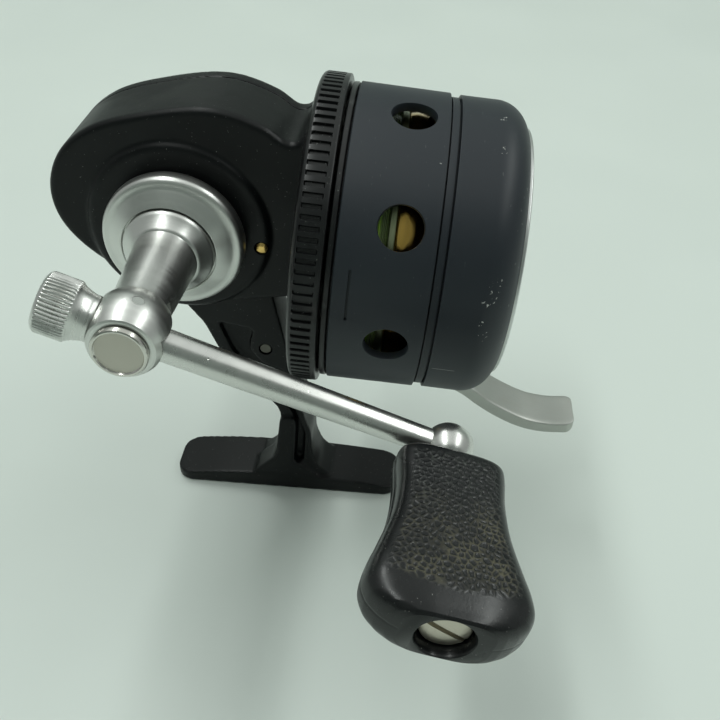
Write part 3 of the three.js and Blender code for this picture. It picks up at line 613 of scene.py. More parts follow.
def cover_finish():
    """Dark blue-grey anodised shell, with fine wear, small pale scuffs and one scratch."""
    surface = Surface("cover_anodised", (0.0175, 0.0225, 0.029), 0.44, Specular_IOR_Level=0.38)
    along, _ = surface.round_axis(ON_SHAFT)
    surface.bump(surface.noise(1500, 2), 0.004)
    surface.roughen(surface.patches(70, 4, 0.4, 0.7), 0.47)
    surface.colour(surface.patches(30, 3, 0.35, 0.7, 0.5), (0.023, 0.029, 0.035))
    hair = surface.noise(1, 2, surface.stretched(surface.place, (2600, 260, 900)))
    surface.colour(surface.span(hair, 0.72, 0.78, 0, 0.25), (0.2, 0.21, 0.21))
    worn_front = surface.span(along, 40 * MM, 43 * MM)
    chips = surface.math("MULTIPLY", worn_front, surface.patches(1100, 5, 0.66, 0.72))
    surface.colour(surface.math("MULTIPLY", chips, 0.3), (0.3, 0.31, 0.3))
    flecks = surface.patches(1900, 4, 0.6, 0.66)
    for x, angle, reach in SCUFFS:
        spot, _ = on_cover(x, angle, COVER_R - 0.5)
        near = surface.span(surface.vector("DISTANCE", surface.place, spot), reach * MM, 0)
        thinned = surface.span(surface.math("ADD", near, flecks), 1.25, 1.55)
        surface.colour(surface.math("MULTIPLY", thinned, 0.85), (0.6, 0.61, 0.58))
    # one straight scratch runs along the axis, low on the handle side
    middle, round_cover = on_cover(SCRATCH_X, SCRATCH_ANGLE, COVER_R)
    offset = surface.vector("SUBTRACT", surface.place, middle)
    beside = surface.math("ABSOLUTE", surface.vector("DOT_PRODUCT", offset, round_cover))
    scratch = surface.math(
        "MULTIPLY",
        surface.span(beside, 0.09 * MM, 0.03 * MM),
        surface.span(surface.vector("LENGTH", offset), 2.6 * MM, 2.0 * MM, 0, 0.6),
    )
    surface.colour(scratch, (0.5, 0.5, 0.48))
    return surface


def arm_finish():
    """Polished aluminium rod with faint drawn lines, small pits and smears."""
    surface = Surface("arm_metal", (0.68, 0.68, 0.655), 0.27, 1.0)
    along, _ = surface.round_axis(ON_ARM)
    arm_frame = REEL @ ON_ARM
    offset = surface.vector("SUBTRACT", surface.place, tuple(arm_frame.to_translation()))
    drawn = surface.node("ShaderNodeMapping", vector_type="TEXTURE")
    drawn.inputs["Rotation"].default_value = arm_frame.to_euler()
    surface.feed(drawn.inputs["Vector"], offset)
    lines = surface.stretched(drawn.outputs["Vector"], (140, 5200, 5200))
    surface.bump(surface.noise(1, 3, lines), 0.006)
    surface.roughen(surface.patches(220, 4, 0.42, 0.7), 0.33)
    pits = surface.span(surface.cells(620), 0.16, 0.05)
    sparse = surface.patches(210, 2, 0.52, 0.6)
    first_half = surface.span(along, 45 * MM, 20 * MM)
    pitted = surface.math("MULTIPLY", surface.math("MULTIPLY", pits, sparse), first_half)
    surface.bump(surface.math("SUBTRACT", 1.0, pitted), 0.05)
    surface.colour(surface.math("MULTIPLY", pitted, 0.6), (0.3, 0.29, 0.27))
    return surface


def lever_finish():
    """Brushed and clear-coated lever: fine lines along its length."""
    surface = Surface("lever_metal", (0.50, 0.51, 0.48), 0.42, 0.85)
    lines = surface.noise(1, 3, surface.stretched(surface.place, (260, 5200, 700)))
    surface.bump(lines, 0.006)
    surface.roughen(surface.span(lines, 0.4, 0.7), 0.5)
    surface.colour(surface.patches(180, 4, 0.5, 0.75, 0.25), (0.44, 0.43, 0.39))
    return surface


def knob_finish():
    """Black moulded rubbery plastic, with painted grey highlight dashes on the inner half and then
    dusty tan veins outwards.
    """
    surface = Surface("knob_plastic", (0.0066, 0.0074, 0.0078), 0.24, Specular_IOR_Level=0.42)
    vein = surface.node("ShaderNodeAttribute", attribute_name="vein").outputs["Fac"]
    along, _ = surface.round_axis(ON_KNOB)
    patchy = surface.span(surface.noise(150, 4), 0.4, 0.6, 0.2, 1)
    # painted highlight: grey dashes in the inner half's creases stand in for glints on the pebbles
    highlight_dashes = surface.patches(700, 2, 0.48, 0.6)
    inner = surface.math("MULTIPLY", surface.span(along, 72 * MM, 64 * MM, 0, 0.5), highlight_dashes)
    surface.colour(surface.math("MULTIPLY", vein, inner), (0.055, 0.06, 0.052))
    outer = surface.math("MULTIPLY", surface.span(along, 62 * MM, 72 * MM, 0, 0.85), patchy)
    surface.colour(surface.math("MULTIPLY", vein, outer), (0.10, 0.092, 0.054))
    surface.roughen(vein, 0.7)
    surface.roughen(surface.patches(150, 3, 0.45, 0.75), 0.36)
    surface.bump(surface.noise(2600, 3), 0.012)
    surface.bump(surface.noise(260, 2), 0.02)
    surface.colour(surface.patches(3000, 1, 0.75, 0.8, 0.7), (0.3, 0.3, 0.28))
    return surface


def line_finish():
    """Yellow-green nylon line, a little different from turn to turn."""
    surface = Surface("line_nylon", (0.16, 0.36, 0.02), 0.25, Specular_IOR_Level=0.5)
    along, rings = surface.turned_place(ON_SHAFT)
    surface.colour(surface.span(surface.noise(2600, 1, rings), 0.42, 0.58), (0.62, 1.0, 0.12))
    front_turns = surface.span(along, 15.4 * MM, 16.2 * MM, 0, 0.75)
    surface.colour(front_turns, (0.36, 0.42, 0.24))
    shaded = surface.span(surface.noise(4200, 1, rings), 0.6, 0.66, 0, 0.6)
    surface.colour(shaded, (0.05, 0.08, 0.02))
    return surface


def badge_finish():
    """A blank badge: polished rim and a fine-brushed warm silver face."""
    surface = Surface("badge_metal", (0.66, 0.645, 0.60), 0.2, 1.0)
    _, radius = surface.round_axis(ON_CRANK)
    face = surface.span(radius, 4.35 * MM, 4.25 * MM)
    surface.colour(face, (0.50, 0.475, 0.42))
    surface.roughen(face, 0.42)
    lines = surface.noise(1, 2, surface.stretched(surface.place, (7000, 500, 1200)))
    surface.bump(lines, 0.006)
    return surface


def felt_finish():
    """Grey felt with a coarse nap."""
    surface = Surface("felt_grey", (0.16, 0.155, 0.14), 0.95)
    surface.bump(surface.noise(2400, 6), 0.15)
    surface.colour(surface.patches(1500, 4, 0.4, 0.7), (0.24, 0.23, 0.21))
    return surface


def nylon_finish():
    """Off-white nylon with greasy patches."""
    surface = Surface("nylon_white", (0.72, 0.70, 0.63), 0.45, Subsurface_Weight=0.1)
    surface.bump(surface.noise(900, 3), 0.01)
    surface.colour(surface.patches(260, 3, 0.5, 0.8, 0.5), (0.6, 0.57, 0.49))
    return surface


cover_anodised = cover_finish()
arm_metal = arm_finish()
lever_metal = lever_finish()
knob_plastic = knob_finish()
line_nylon = line_finish()
badge_metal = badge_finish()
felt_grey = felt_finish()
nylon_white = nylon_finish()
face_metal = turned_metal("face_metal", ON_SHAFT, (0.66, 0.67, 0.66), 0.24, 0.36)
spool_metal = turned_metal("spool_metal", ON_SHAFT, (0.40, 0.44, 0.27), 0.34, 0.46, 0.02)
handle_metal = turned_metal("handle_metal", ON_CRANK, (0.68, 0.685, 0.66), 0.3, 0.37, 0.002)
screw_metal = turned_metal("screw_metal", ON_ARM, (0.68, 0.685, 0.66), 0.26, 0.36, 0.002)
knob_screw_metal = turned_metal("knob_screw_metal", ON_KNOB, (0.56, 0.52, 0.44), 0.3, 0.42)
spinner_brass = turned_metal("spinner_brass", ON_SHAFT, (0.70, 0.43, 0.11), 0.12, 0.2, 0.003)

# ------------------------------------------------------------------ casting: case, leg, foot

# The case from the side, from the plate behind the ring, under the gears, round the back
# and over the top, where it flares up to the plate again.
CASE_OUTLINE = [
    (CASE_FRONT, -11.6), (-7.8, -13.2), (-18, -15.2), (-31, -13), (-44.5, -7.4), (-51.6, 0.2),
    (-53.2, 8), (-50.5, 16), (-44, 22.2), (-33, 26.6), (-19, 29.3), (-9, 27), (-4.4, 24.4),
    (-2.2, 24.8), (CASE_FRONT, 27),
]
LEG_OUTLINE = [
    (-30, -10), (-26.9, -21), (-22.6, -26), (-19.4, -32.9), (-12.5, -41.5), (-4.6, -49.4),
    (-3.6, -52), (-3.8, -64), (-5.2, -69.5), (-9.5, -73.8), (-9.5, -76), (11.5, -74.5),
    (11.5, -72.4), (7, -69), (4.9, -64), (4.4, -57), (2.8, -53.3), (-1.6, -36), (-4.2, -25.8),
    (-8.3, -10),
]
LEG_RIB = [
    (-3.7, -52), (-4.3, -66), (-10, -72.5), (-10, -76.3), (8, -75), (8, -72), (1.2, -67),
    (0.8, -52),
]
# Pockets lighten the leg's sides between its rear and front edges.
LEG_POCKET = [
    (-19.5, -25), (-15.8, -33.6), (-9.5, -41.4), (-1.2, -49.6), (0.6, -54), (0.7, -67.5),
    (2.9, -67.5), (2.9, -57), (1, -53), (-3.8, -37), (-8.4, -36.2), (-12, -32), (-11, -26),
]
LEVER_SLOT = [
    (-25.5, -8), (-25.5, -22), (-14.5, -31.5), (-11.5, -38), (4, -41), (4, -28.5), (-4.8, -27.4),
    (-14, -8),
]
OUTLINE_STEPS = 120
RIM_STEPS = 6


def egg(name, y_low, y_high, near_edge, far_edge, inset=0.0):
    """The case's outline between two y values, with rounded rims."""
    rims = []
    for turn in quarter(RIM_STEPS):
        rims.append((y_low + near_edge * (1 - math.cos(turn)), near_edge * (1 - math.sin(turn))))
    for turn in quarter(RIM_STEPS):
        rims.append((y_high - far_edge * (1 - math.sin(turn)), far_edge * (1 - math.cos(turn))))
    sections = []
    for y, rim_inset in rims:
        if sections and abs(y - sections[-1][0][1]) < 1e-6:
            continue
        line = smooth_line(CASE_OUTLINE, OUTLINE_STEPS, inset + rim_inset)
        sections.append([(x, y, z) for x, z in line])
    return loft(name, sections)


def foot():
    """Made level in the foot's frame, then carried into the reel's frame."""
    half = FOOT_LENGTH / 2
    tip_height = 2.6
    left = [(-half, tip_height), (-half * 0.55, FOOT_HEIGHT - 0.5), (-half * 0.2, FOOT_HEIGHT)]
    right = [(-x, z) for x, z in reversed(left)]
    top = smooth_line(left + right, 40)
    bar = side_plate("foot", [(half, 0), (-half, 0), *top], -FOOT_WIDTH / 2, FOOT_WIDTH / 2)
    plan = []
    for sign_x, sign_y, start in ((1, 1, 0), (-1, 1, 90), (-1, -1, 180), (1, -1, 270)):
        for turn in quarter(12):
            angle = math.radians(start) + turn
            x = sign_x * (half - FOOT_CORNER) + FOOT_CORNER * math.cos(angle)
            y = sign_y * (FOOT_WIDTH / 2 - FOOT_CORNER) + FOOT_CORNER * math.sin(angle)
            plan.append((x, y))
    trim = loft("foot_plan", [[(x, y, z) for x, y in plan] for z in (-2, 8)])
    combine(bar, [trim], "INTERSECT")
    bar.data.transform(TO_REEL @ Matrix.Scale(MM, 4))
    return bar


def leg():
    """The leg below the case, with a rib along its near side and a pocket in each side."""
    shape = side_plate("leg", soften(LEG_OUTLINE, 1.6), -LEG_HALF_WIDTH, LEG_HALF_WIDTH)
    # the rib runs down flush into the foot's edge
    join(shape, side_plate("rib", soften(LEG_RIB, 2), -FOOT_WIDTH / 2 + 0.25, 0))
    pocket = soften(LEG_POCKET, 1.5)
    near = side_plate("near_pocket", pocket, -8, -3.7)
    far = side_plate("far_pocket", pocket, 3.7, 8)
    return carve(shape, near, far)


def body_casting():
    """Case, near boss, neck, leg and foot as one casting, then hollowed and bored."""
    body = egg("casting", CASE_NEAR, CASE_FAR, CASE_EDGE, 0.01)
    boss = turned(
        "boss",
        [(0, 9), (BOSS_R + 1.6, 9), (BOSS_R + 1.2, 10.9), (BOSS_R + 0.3, 11.9),
         (BOSS_R - 0.6, BOSS_FACE), (0, BOSS_FACE)],
        ON_CRANK,
    )
    neck = turned(
        "neck",
        [(0, -12), (SPIGOT_R, -12), (SPIGOT_R, CASE_FRONT - 1.5), (19, CASE_FRONT),
         (NECK_R, CASE_FRONT), (NECK_R, 1.4), (30.2, 1.4), (30.2, 4.2), (11.7, 4.2), (11.7, 7.3),
         (0, 7.3)],
    )
    join(body, boss, neck, leg(), foot())
    cast(body, 0.36, 4)
    hollow = egg("hollow", CASE_NEAR + CASE_WALL, CASE_FAR + 1, 0.01, 0.01, CASE_WALL)
    kept_spigot = disc("kept_spigot", SPIGOT_R, -9.2, 0)
    kept_front = block("kept_front", (-3.4, 3), (-30, 30), (-35, 35))
    posts = [cross_pin("post", 3.2, x, z, CASE_NEAR, CASE_FAR - 0.2) for x, z in COVER_SCREWS]
    carve(hollow, kept_spigot, kept_front, *posts)
    lip = block("lip", (-70, 20), (CASE_FAR - 0.02, CASE_FAR + 6), (-50, 60))
    front_of_lip = block("front_of_lip", (-0.8, 30), (-40, 40), (-50, 60))
    carve(lip, front_of_lip)
    carve(
        body,
        hollow,
        lip,
        disc("crank_bore", CRANK_BORE_R, 5, 14, ON_CRANK),
        disc("pinion_bore", 6.05, -12.5, 3),
        disc("sleeve_bore", 7.05, 2.8, 8),
        side_plate("lever_slot", soften(LEVER_SLOT, 1.2), -SLOT_HALF_WIDTH, SLOT_HALF_WIDTH),
        cross_pin("pivot_bore", PIVOT_BORE_R, TRIGGER_PIVOT.x, TRIGGER_PIVOT.z, -8, 8),
        cross_pin("lock_pin_bore", 1.55, *LOCK_PIN, -14, -5),
        *[cross_pin("tapped_hole", SCREW_HOLE_R, x, z, 0.5, 8) for x, z in COVER_SCREWS],
    )
    finish_piece(body, "housing", case_paint, ["body_casting"])


def side_cover():
    """The flat far side of the case, with a low boss over the crank's far bush."""
    cover = egg("side_cover_shell", CASE_FAR + 0.04, SIDE_COVER_FACE, 0.01, 1.4)
    boss = turned("far_boss", [(0, -10.8), (8.4, -10.8), (9.6, -9.4), (9.6, -7), (0, -7)], ON_CRANK)
    front = block("cover_front", (SIDE_COVER_FRONT, 4), (0, 20), (-40, 40))
    carve(cover, front)
    join(cover, boss)
    cast(cover, 0.38, 4)
    holes = []
    for x, z in COVER_SCREWS:
        holes.append(cross_pin("screw_sink", 2.45, x, z, 8.6, 12))
        holes.append(cross_pin("screw_hole", SCREW_HOLE_R, x, z, 5, 12))
    under = block("cover_under", (-70, 4), (CASE_FAR - 3, CASE_FAR + 0.06), (-40, 50))
    carve(
        cover,
        under,
        disc("far_bore", CRANK_BORE_R, -9.2, 0, ON_CRANK),
        disc("round_neck", 9.3, -13, 2),
        *holes,
    )
    finish_piece(cover, "housing", case_paint, ["side_cover"])


def cover_screws():
    """Three slotted pan-head screws, each stopped at its own angle."""
    for k, (x, z) in enumerate(COVER_SCREWS):
        name = f"cover_screw_{k + 1}"
        profile = [(0, -9.9), (1.9, -9.8), (2.2, -9.6), (2.3, -9.3), (2.3, -8.75)]
        profile += [(1.25, -8.75), (1.25, -1.3), (1.0, -1), (0, -1)]
        screw = turned(f"{name}_fine", profile, across(x, z), 48)
        stopped = Matrix.Translation((x, 0, z)) @ Matrix.Rotation(0.5 + 1.1 * k, 4, "Y")
        carve(screw, block("screw_slot", (-3, 3), (9.35, 11), (-0.32, 0.32), stopped))
        finish_piece(screw, "housing", steel, [name])


def lock_pin():
    """A small brass pin whose domed head shows in the case's near side."""
    profile = [(0, 6.6), (1.4, 6.6), (1.4, 11.6), (1.26, 12.0), (0.8, 12.28), (0, 12.36)]
    pin = turned("bush_lock_pin_fine", profile, across(*LOCK_PIN), 40)
    finish_piece(pin, "housing", brass, ["bush_lock_pin"])


def trigger_pivot():
    place = across(TRIGGER_PIVOT.x, TRIGGER_PIVOT.z)
    pivot = disc("trigger_pivot_fine", 1.5, -5.3, 5.3, place, 0.25, 48)
    # the pin is darkened as painted shade where it shows in the leg
    finish_piece(pivot, "housing", shade_dark_steel, ["trigger_pivot_pin"])


# ------------------------------------------------------------------ drag ring and front cover


def drag_ring():
    """The ring's raised ridges run between a rounded shoulder and a plain front rim."""
    ridge_from, ridge_to = 0.9, 4.9
    shoulder_r, shoulder_width, shoulder_depth = 30.9, 2.3, 1.1

    def ridges(radius, along, angle):
        if along <= ridge_from or along >= ridge_to or radius < RING_R - 1:
            return 0.0
        phase = (angle * RIDGE_COUNT / (2 * math.pi)) % 1.0
        off_middle = abs(phase - 0.5) * 2
        top = min(1.0, max(0.0, (0.66 - off_middle) / 0.12))
        return -RIDGE_HEIGHT * (1 - top)

    profile = [(27.9, RING_REAR), (31.0, RING_REAR)]
    for turn in quarter(6)[1:]:
        along = RING_REAR + shoulder_depth * (1 - math.cos(turn))
        profile.append((shoulder_r + shoulder_width * math.sin(turn), along))
    profile += [(RING_R - 0.05, ridge_from), (RING_R, ridge_from + 0.25), (RING_R, 2.8)]
    profile += [(RING_R, ridge_to - 0.25), (RING_R - 0.04, ridge_to)]
    profile += [(RING_R - 0.04, RING_FRONT - 0.35), (RING_R - 0.14, RING_FRONT - 0.1)]
    profile += [(RING_R - 0.4, RING_FRONT), (30.7, RING_FRONT), (30.6, RING_FRONT - 0.1)]
    profile += [(30.6, 1.1), (27.9, 1.1)]
    ring = turned("drag_ring_ridged", profile, ON_SHAFT, RIDGE_COUNT * 12, ridges)
    finish_piece(ring, "drag_ring", ring_plastic, ["drag_ring"], 28)


def body_plate():
    """The thin flange between the ring and the cover, and the sleeve inside the cover."""
    profile = [(12, 6.5), (31.6, 6.5), (31.8, 6.7), (31.8, 7.55), (31.6, 7.75), (29.4, 7.75)]
    profile += [(29.4, 13), (28.2, 13), (28.2, 7.75), (12, 7.75)]
    plate = turned("body_plate_fine", profile, ON_SHAFT, 192)
    holes = []
    for k in range(3):
        angle = 2 * math.pi * k / 3 + 0.5
        place = Matrix.Translation((0, 20 * math.cos(angle), 20 * math.sin(angle)))
        holes.append(disc("drag_pin_hole", 1.5, 6, 9, place, 0, 32))
    carve(plate, *holes)
    finish_piece(plate, "housing", ring_plastic, ["body_plate"])


def nose_arc(grow, steps, degrees):
    """The round from the cover's side to its front, on a circle grown by grow."""
    turns = [math.radians(degrees) * k / steps for k in range(steps + 1)]
    r = NOSE_ROUND + grow
    return [(NOSE_R + r * math.cos(turn), NOSE_X + r * math.sin(turn)) for turn in turns]


def arc_block(name, x, r, angles, steps=32):
    """A block bent round the reel's axis between two radii and two angles."""
    sections = []
    for angle in np.linspace(*angles, steps):
        c, s = math.cos(angle), math.sin(angle)
        corners = ((x[0], r[0]), (x[1], r[0]), (x[1], r[1]), (x[0], r[1]))
        sections.append([(a, b * c, b * s) for a, b in corners])
    return loft(name, sections)


def front_cover():
    """The shell with its groove, its index line and eight windows with flared rims."""
    side = [(COVER_INNER_R, COVER_REAR), (COVER_R - 0.18, COVER_REAR), (COVER_R, COVER_REAR + 0.18)]
    groove = soften(
        [(31.78, 26.2), (31.76, 26.75), (30.2, 26.8), (30.2, 27.08), (31.0, 27.12), (31.0, 28.6),
         (30.2, 28.64), (30.2, 28.92), (31.62, 28.97), (31.6, 29.6)],
        0.07, closed=False,
    )
    nose = nose_arc(0, 26, 68)
    inside = [(26.95, 43.3), (26.95, 41.6), *reversed(nose_arc(-1.6, 12, 55))]
    profile = [*side, *groove, *nose, *inside]
    cover = turned("front_cover_shell", profile, ON_SHAFT, 288)
    line_angles = (math.pi * 0.898, math.pi * 1.005)
    cutters = [arc_block("index_line", (11, 11.55), (COVER_R - 0.5, COVER_R + 1), line_angles)]
    at_windows = Matrix.Translation((WINDOW_X, 0, 0))
    outwards = Matrix.Rotation(math.pi / 2, 4, "Z")
    flare = [(0, 26), (WINDOW_R, 26), (WINDOW_R, COVER_R - 0.55), (WINDOW_R + 0.16, COVER_R - 0.2)]
    flare += [(WINDOW_R + 1.6, COVER_R + 1.6), (0, COVER_R + 1.6)]
    for k in range(WINDOW_COUNT):
        angle = math.pi - WINDOW_PHASE - 2 * math.pi * k / WINDOW_COUNT
        place = at_windows @ Matrix.Rotation(angle, 4, "X") @ outwards
        cutters.append(turned("window", flare, place, 72))
    carve(cover, *cutters)
    finish_piece(cover, "front_cover", cover_anodised, ["front_cover"], 30)


def face_plate():
    """The bright dished front face inside the cover's rim."""
    profile = soften(
        [(26.65, 41.8), (26.65, 43.9), (26.2, 44.1), (25.4, 44.1), (23.6, 43.1), (10, 41.4),
         (6.1, 41.2), (6.1, 39.9), (10, 40), (23.8, 41.7)],
        0.35,
    )
    plate = turned("face_plate_fine", profile, ON_SHAFT, 256)
    finish_piece(plate, "front_cover", face_metal, ["face_plate"])


def line_guide():
    """A ring of oval section round the line's hole."""
    radius, middle, half_wall, half_length = 4.6, 41.4, 1.25, 2.3
    sides = 28
    turns = [2 * math.pi * k / sides for k in range(sides)]
    profile = [
        (radius + half_wall * math.cos(turn), middle + half_length * math.sin(turn)) for turn in turns
    ]
    guide = turned("line_guide_fine", profile, ON_SHAFT, 96)
    finish_piece(guide, "front_cover", steel, ["line_guide"])


# ------------------------------------------------------------------ spool, line, spinner head


def spool():
    bore, core = 7.15, 14
    rear, front = SPOOL_REAR + REAR_FLANGE, SPOOL_FRONT - FRONT_FLANGE
    profile = soften(
        [(bore, SPOOL_REAR), (SPOOL_R, SPOOL_REAR), (SPOOL_R, rear), (core, rear), (core, front),
         (SPOOL_R, front), (SPOOL_R, SPOOL_FRONT), (bore, SPOOL_FRONT)],
        0.35,
    )
    piece = turned("spool_fine", profile, ON_SHAFT, 192)
    finish_piece(piece, "spool", spool_metal, ["spool"])


def wound_line():
    """The line turn by turn, a little lower at both flanges and not quite round."""
    clear, turn_height = 0.05, 0.17
    rear, front = SPOOL_REAR + REAR_FLANGE + clear, SPOOL_FRONT - FRONT_FLANGE - clear
    steps = int((front - rear) / LINE_PITCH) * 6
    outer = []
    for k in range(steps + 1):
        along = rear + (front - rear) * k / steps
        edge = min(along - rear, front - along)
        crown = LINE_R - 0.35 * math.exp(-edge / 0.5)
        wave = abs(math.sin(math.pi * (along - rear) / LINE_PITCH))
        outer.append((crown - turn_height + turn_height * wave, along))

    def uneven(radius, along, angle):
        if radius < 20:
            return 0.0
        return 0.07 * math.sin(3 * angle + along * 2.1) + 0.05 * math.sin(7 * angle - along * 4.3)

    line = turned("wound_line_turns", [(14.3, rear), *outer, (14.3, front)], ON_SHAFT, 180, uneven)
    finish_piece(line, "spool", line_nylon, ["wound_line"], 60)


def spinner_head():
    """The brass cup in front of the spool, with a hole for the pick-up pin."""
    profile = soften(
        [(1.65, 25.6), (4.2, 25.6), (5.2, 27.6), (20.5, 28.2), (24.2, 26.2), (25.7, 23.4),
         (26, 18.98), (26.9, 18.98), (27.2, 20.6), (26.8, 23), (25.8, 25.4), (23.8, 27.9),
         (20.5, 29.6), (6, 29.9), (4.6, 31), (1.65, 31)],
        2.0, steps=6,
    )
    head = turned("spinner_head_fine", profile, ON_SHAFT, 192)
    pin_place = Matrix.Translation((24.4, 0, 0)) @ ON_PICKUP
    carve(head, disc("pin_hole", 1.15, 21, 31, pin_place, 0, 32))
    finish_piece(head, "spinner", spinner_brass, ["spinner_head"])


def head_nut():
    nut = disc("head_nut_fine", 3.6, 31.3, 33.8, ON_SHAFT, 0, 6)
    rounded = [(0, 31), (3.2, 31.3), (3.7, 31.7), (3.7, 33.4), (3.2, 33.8), (0, 34)]
    combine(nut, [turned("nut_chamfer", rounded, ON_SHAFT, 64)], "INTERSECT")
    carve(nut, disc("nut_bore", 1.65, 30, 36))
    finish_piece(nut, "spinner", steel, ["head_nut"])


def main_shaft():
    profile = [(0, -18.3), (1.2, -18.3), (1.5, -17.9), (1.5, 34.6), (1.1, 35), (0, 35)]
    shaft = turned("main_shaft_fine", profile, ON_SHAFT, 64)
    finish_piece(shaft, "spinner", steel, ["main_shaft"])


def shaft_spring():
    """A coil of round wire round the shaft, between its clip and the front bush."""
    turns, wire, radius, travel = 11, 0.34, 2.3, 3
    start, end = 4.95, 19.25
    per_turn, sides = 28, 10
    sections = []
    for k in range(turns * per_turn + 1):
        t = k / (turns * per_turn)
        angle = 2 * math.pi * turns * t
        # the turns lie closer together towards both seats
        along = start + (end - start) * (t - 0.25 * math.sin(2 * math.pi * t) / math.pi)
        section = []
        for side in range(sides):
            round_wire = 2 * math.pi * side / sides
            x = along + wire * math.sin(round_wire)
            r = radius + wire * math.cos(round_wire)
            section.append((x, r * math.cos(angle), r * math.sin(angle)))
        sections.append(section)
    spring = loft("shaft_spring_coil", sections)
    finish_piece(spring, "spinner", steel, ["shaft_spring"], 60)
    # the front bush stays while the shaft and clip come forward, so the real coil shortens; here the
    # shaft's direction is worked out but not used, and the coil only gets a mesh of its own
    along = (REEL.to_3x3() @ Vector((1, 0, 0))).normalized()
    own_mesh(spring)


# ------------------------------------------------------------------ crank handle


def handle_collar():
    """A stepped disc with a rounded rim and a shallow cone up to the stem's seat."""
    rim = [(13.2 + 1.5 * math.cos(turn), 16.1 + 1.4 * math.sin(turn)) for turn in quarter(8)]
    profile = [(2.55, 12.8), (12.4, 12.8), (13.9, 13.3), (14.6, 14.1), (14.7, 14.8), *rim]
    profile += [(12.4, 17.85), (9.9, 20.1), (9.75, 20.15), (9.6, 20.0), (9.6, 19.2), (2.55, 19.2)]
    collar = turned("handle_collar_fine", profile, ON_CRANK, 192)
    finish_piece(collar, "crank", handle_metal, ["handle_collar"])


def handle_stem():
    """A tapered stem that swells into the knuckle, with the arm's slot and the screw's seat."""
    profile = [(0, 19.5), (9.1, 19.5), (9.3, 19.7), (9.3, 20.4), (9.15, 20.75), (8.9, 21)]
    profile += [(8.0, 21.9), (7.25, 22.9), (7.0, 23.25), (6.62, 23.5), (6.5, 23.9), (6.35, 26.5)]
    profile += [(5.95, 33), (5.6, SWELL_FROM_S), (5.6, 43), (0, 43)]
    stem = turned("handle_stem_fine", profile, ON_CRANK, 160)
    middle = KNUCKLE_S - 0.2
    swell = [(0, SWELL_FROM_S)]
    for s in np.linspace(SWELL_FROM_S, BADGE_SEAT_S - 0.2, 41):
        swell.append((KNUCKLE_R * math.sqrt(1 - ((s - middle) / KNUCKLE_HALF_LENGTH) ** 2), s))
    swell += [(5.9, BADGE_SEAT_S - 0.05), (5.7, BADGE_SEAT_S), (0, BADGE_SEAT_S)]
    join(stem, turned("knuckle", swell, ON_CRANK, 160))
    slot = block("arm_slot", (-3.8, 10.2), (-3.5, 7.7), (-3.45, 3.45), ON_ARM)
    carve(
        stem,
        slot,
        disc("tapped_bore", 2.3, -12, -2, ON_ARM),
        disc("screw_seat", 4.8, -12, -5.9, ON_ARM),
        disc("fold_bore", FOLD_BORE_R, -9, 9, ON_FOLD, 0, 40),
        disc("shaft_bore", 2.55, 10, 32, ON_CRANK, 0, 48),
    )
    finish_piece(stem, "crank", handle_metal, ["handle_stem"])


def fold_pin():
    """The arm's pin, dressed flush with the knuckle."""
    reach = math.sqrt(KNUCKLE_R**2 - 1.1**2) - 0.04
    pin = disc("fold_pin_fine", 1.12, -reach, reach, ON_FOLD, 0.02, 40)
    finish_piece(pin, "crank", steel, ["fold_pin"])


def handle_badge():
    profile = [(0, 52.8), (5.2, 52.8), (5.2, 53.45), (5.05, 53.75), (4.8, 53.9), (4.55, 53.88)]
    profile += [(4.35, 53.6), (4.3, 53.55), (2.5, 53.66), (0, 53.7)]
    badge = turned("handle_badge_fine", profile, ON_CRANK, 128)
    finish_piece(badge, "crank", badge_metal, ["handle_badge"])


def lock_screw():
    """A clamping screw with a straight-knurled round head and a polished conical neck."""
    knurl_from, knurl_to = -15.3, -10.05

    def knurl(radius, along, angle):
        if not knurl_from < along < knurl_to or radius < 5.4:
            return 0.0
        phase = (angle * KNURL_COUNT / (2 * math.pi)) % 1.0
        return -0.45 * (2 * abs(phase - 0.5)) ** 1.5

    profile = [(0, -16.1), (4.3, -16.1), (4.9, -16.0), (5.35, -15.7), (5.6, -15.35)]
    profile += [(5.7, -15.1), (5.7, -12.6), (5.7, -10.3), (5.55, -10.0), (5.35, -9.75)]
    profile += [(5.1, -9.4), (4.75, -8.6), (4.45, -7.6), (4.35, -7.2), (4.35, -6.3), (4.2, -6.15)]
    profile += [(2, -6.15), (2, -3.9), (1.8, -3.7), (0, -3.7)]
    screw = turned("lock_screw_knurled", profile, ON_ARM, KNURL_COUNT * 10, knurl)
    finish_piece(screw, "lock_screw", screw_metal, ["lock_screw"], 50)


def crank_arm():
    """A slightly tapered rod with a ball for the knob, flat where the knob's sleeve sits."""
    taper = np.linspace(0, 1, 25)
    profile = [(0, 0), (3.1, 0), *[(3.1 - 0.6 * t, 6 + (ARM_LENGTH - 9) * t) for t in taper]]
    arm = turned("crank_arm_fine", [*profile, (0, ARM_LENGTH - 3)], ON_ARM, 96)
    join(arm, ball("arm_root", KNUCKLE, 3.15, 64), ball("end_ball", END_BALL, END_BALL_R, 128))
    carve(
        arm,
        disc("fold_hole", FOLD_BORE_R, -9, 9, ON_FOLD, 0, 40),
        disc("ball_flat", 6, KNUCKLE_S + 4, 60, ON_KNOB),
        disc("knob_hole", 2.05, 44.2, 60, ON_KNOB, 0, 48),
    )
    finish_piece(arm, "crank_arm", arm_metal, ["crank_arm"], 36)


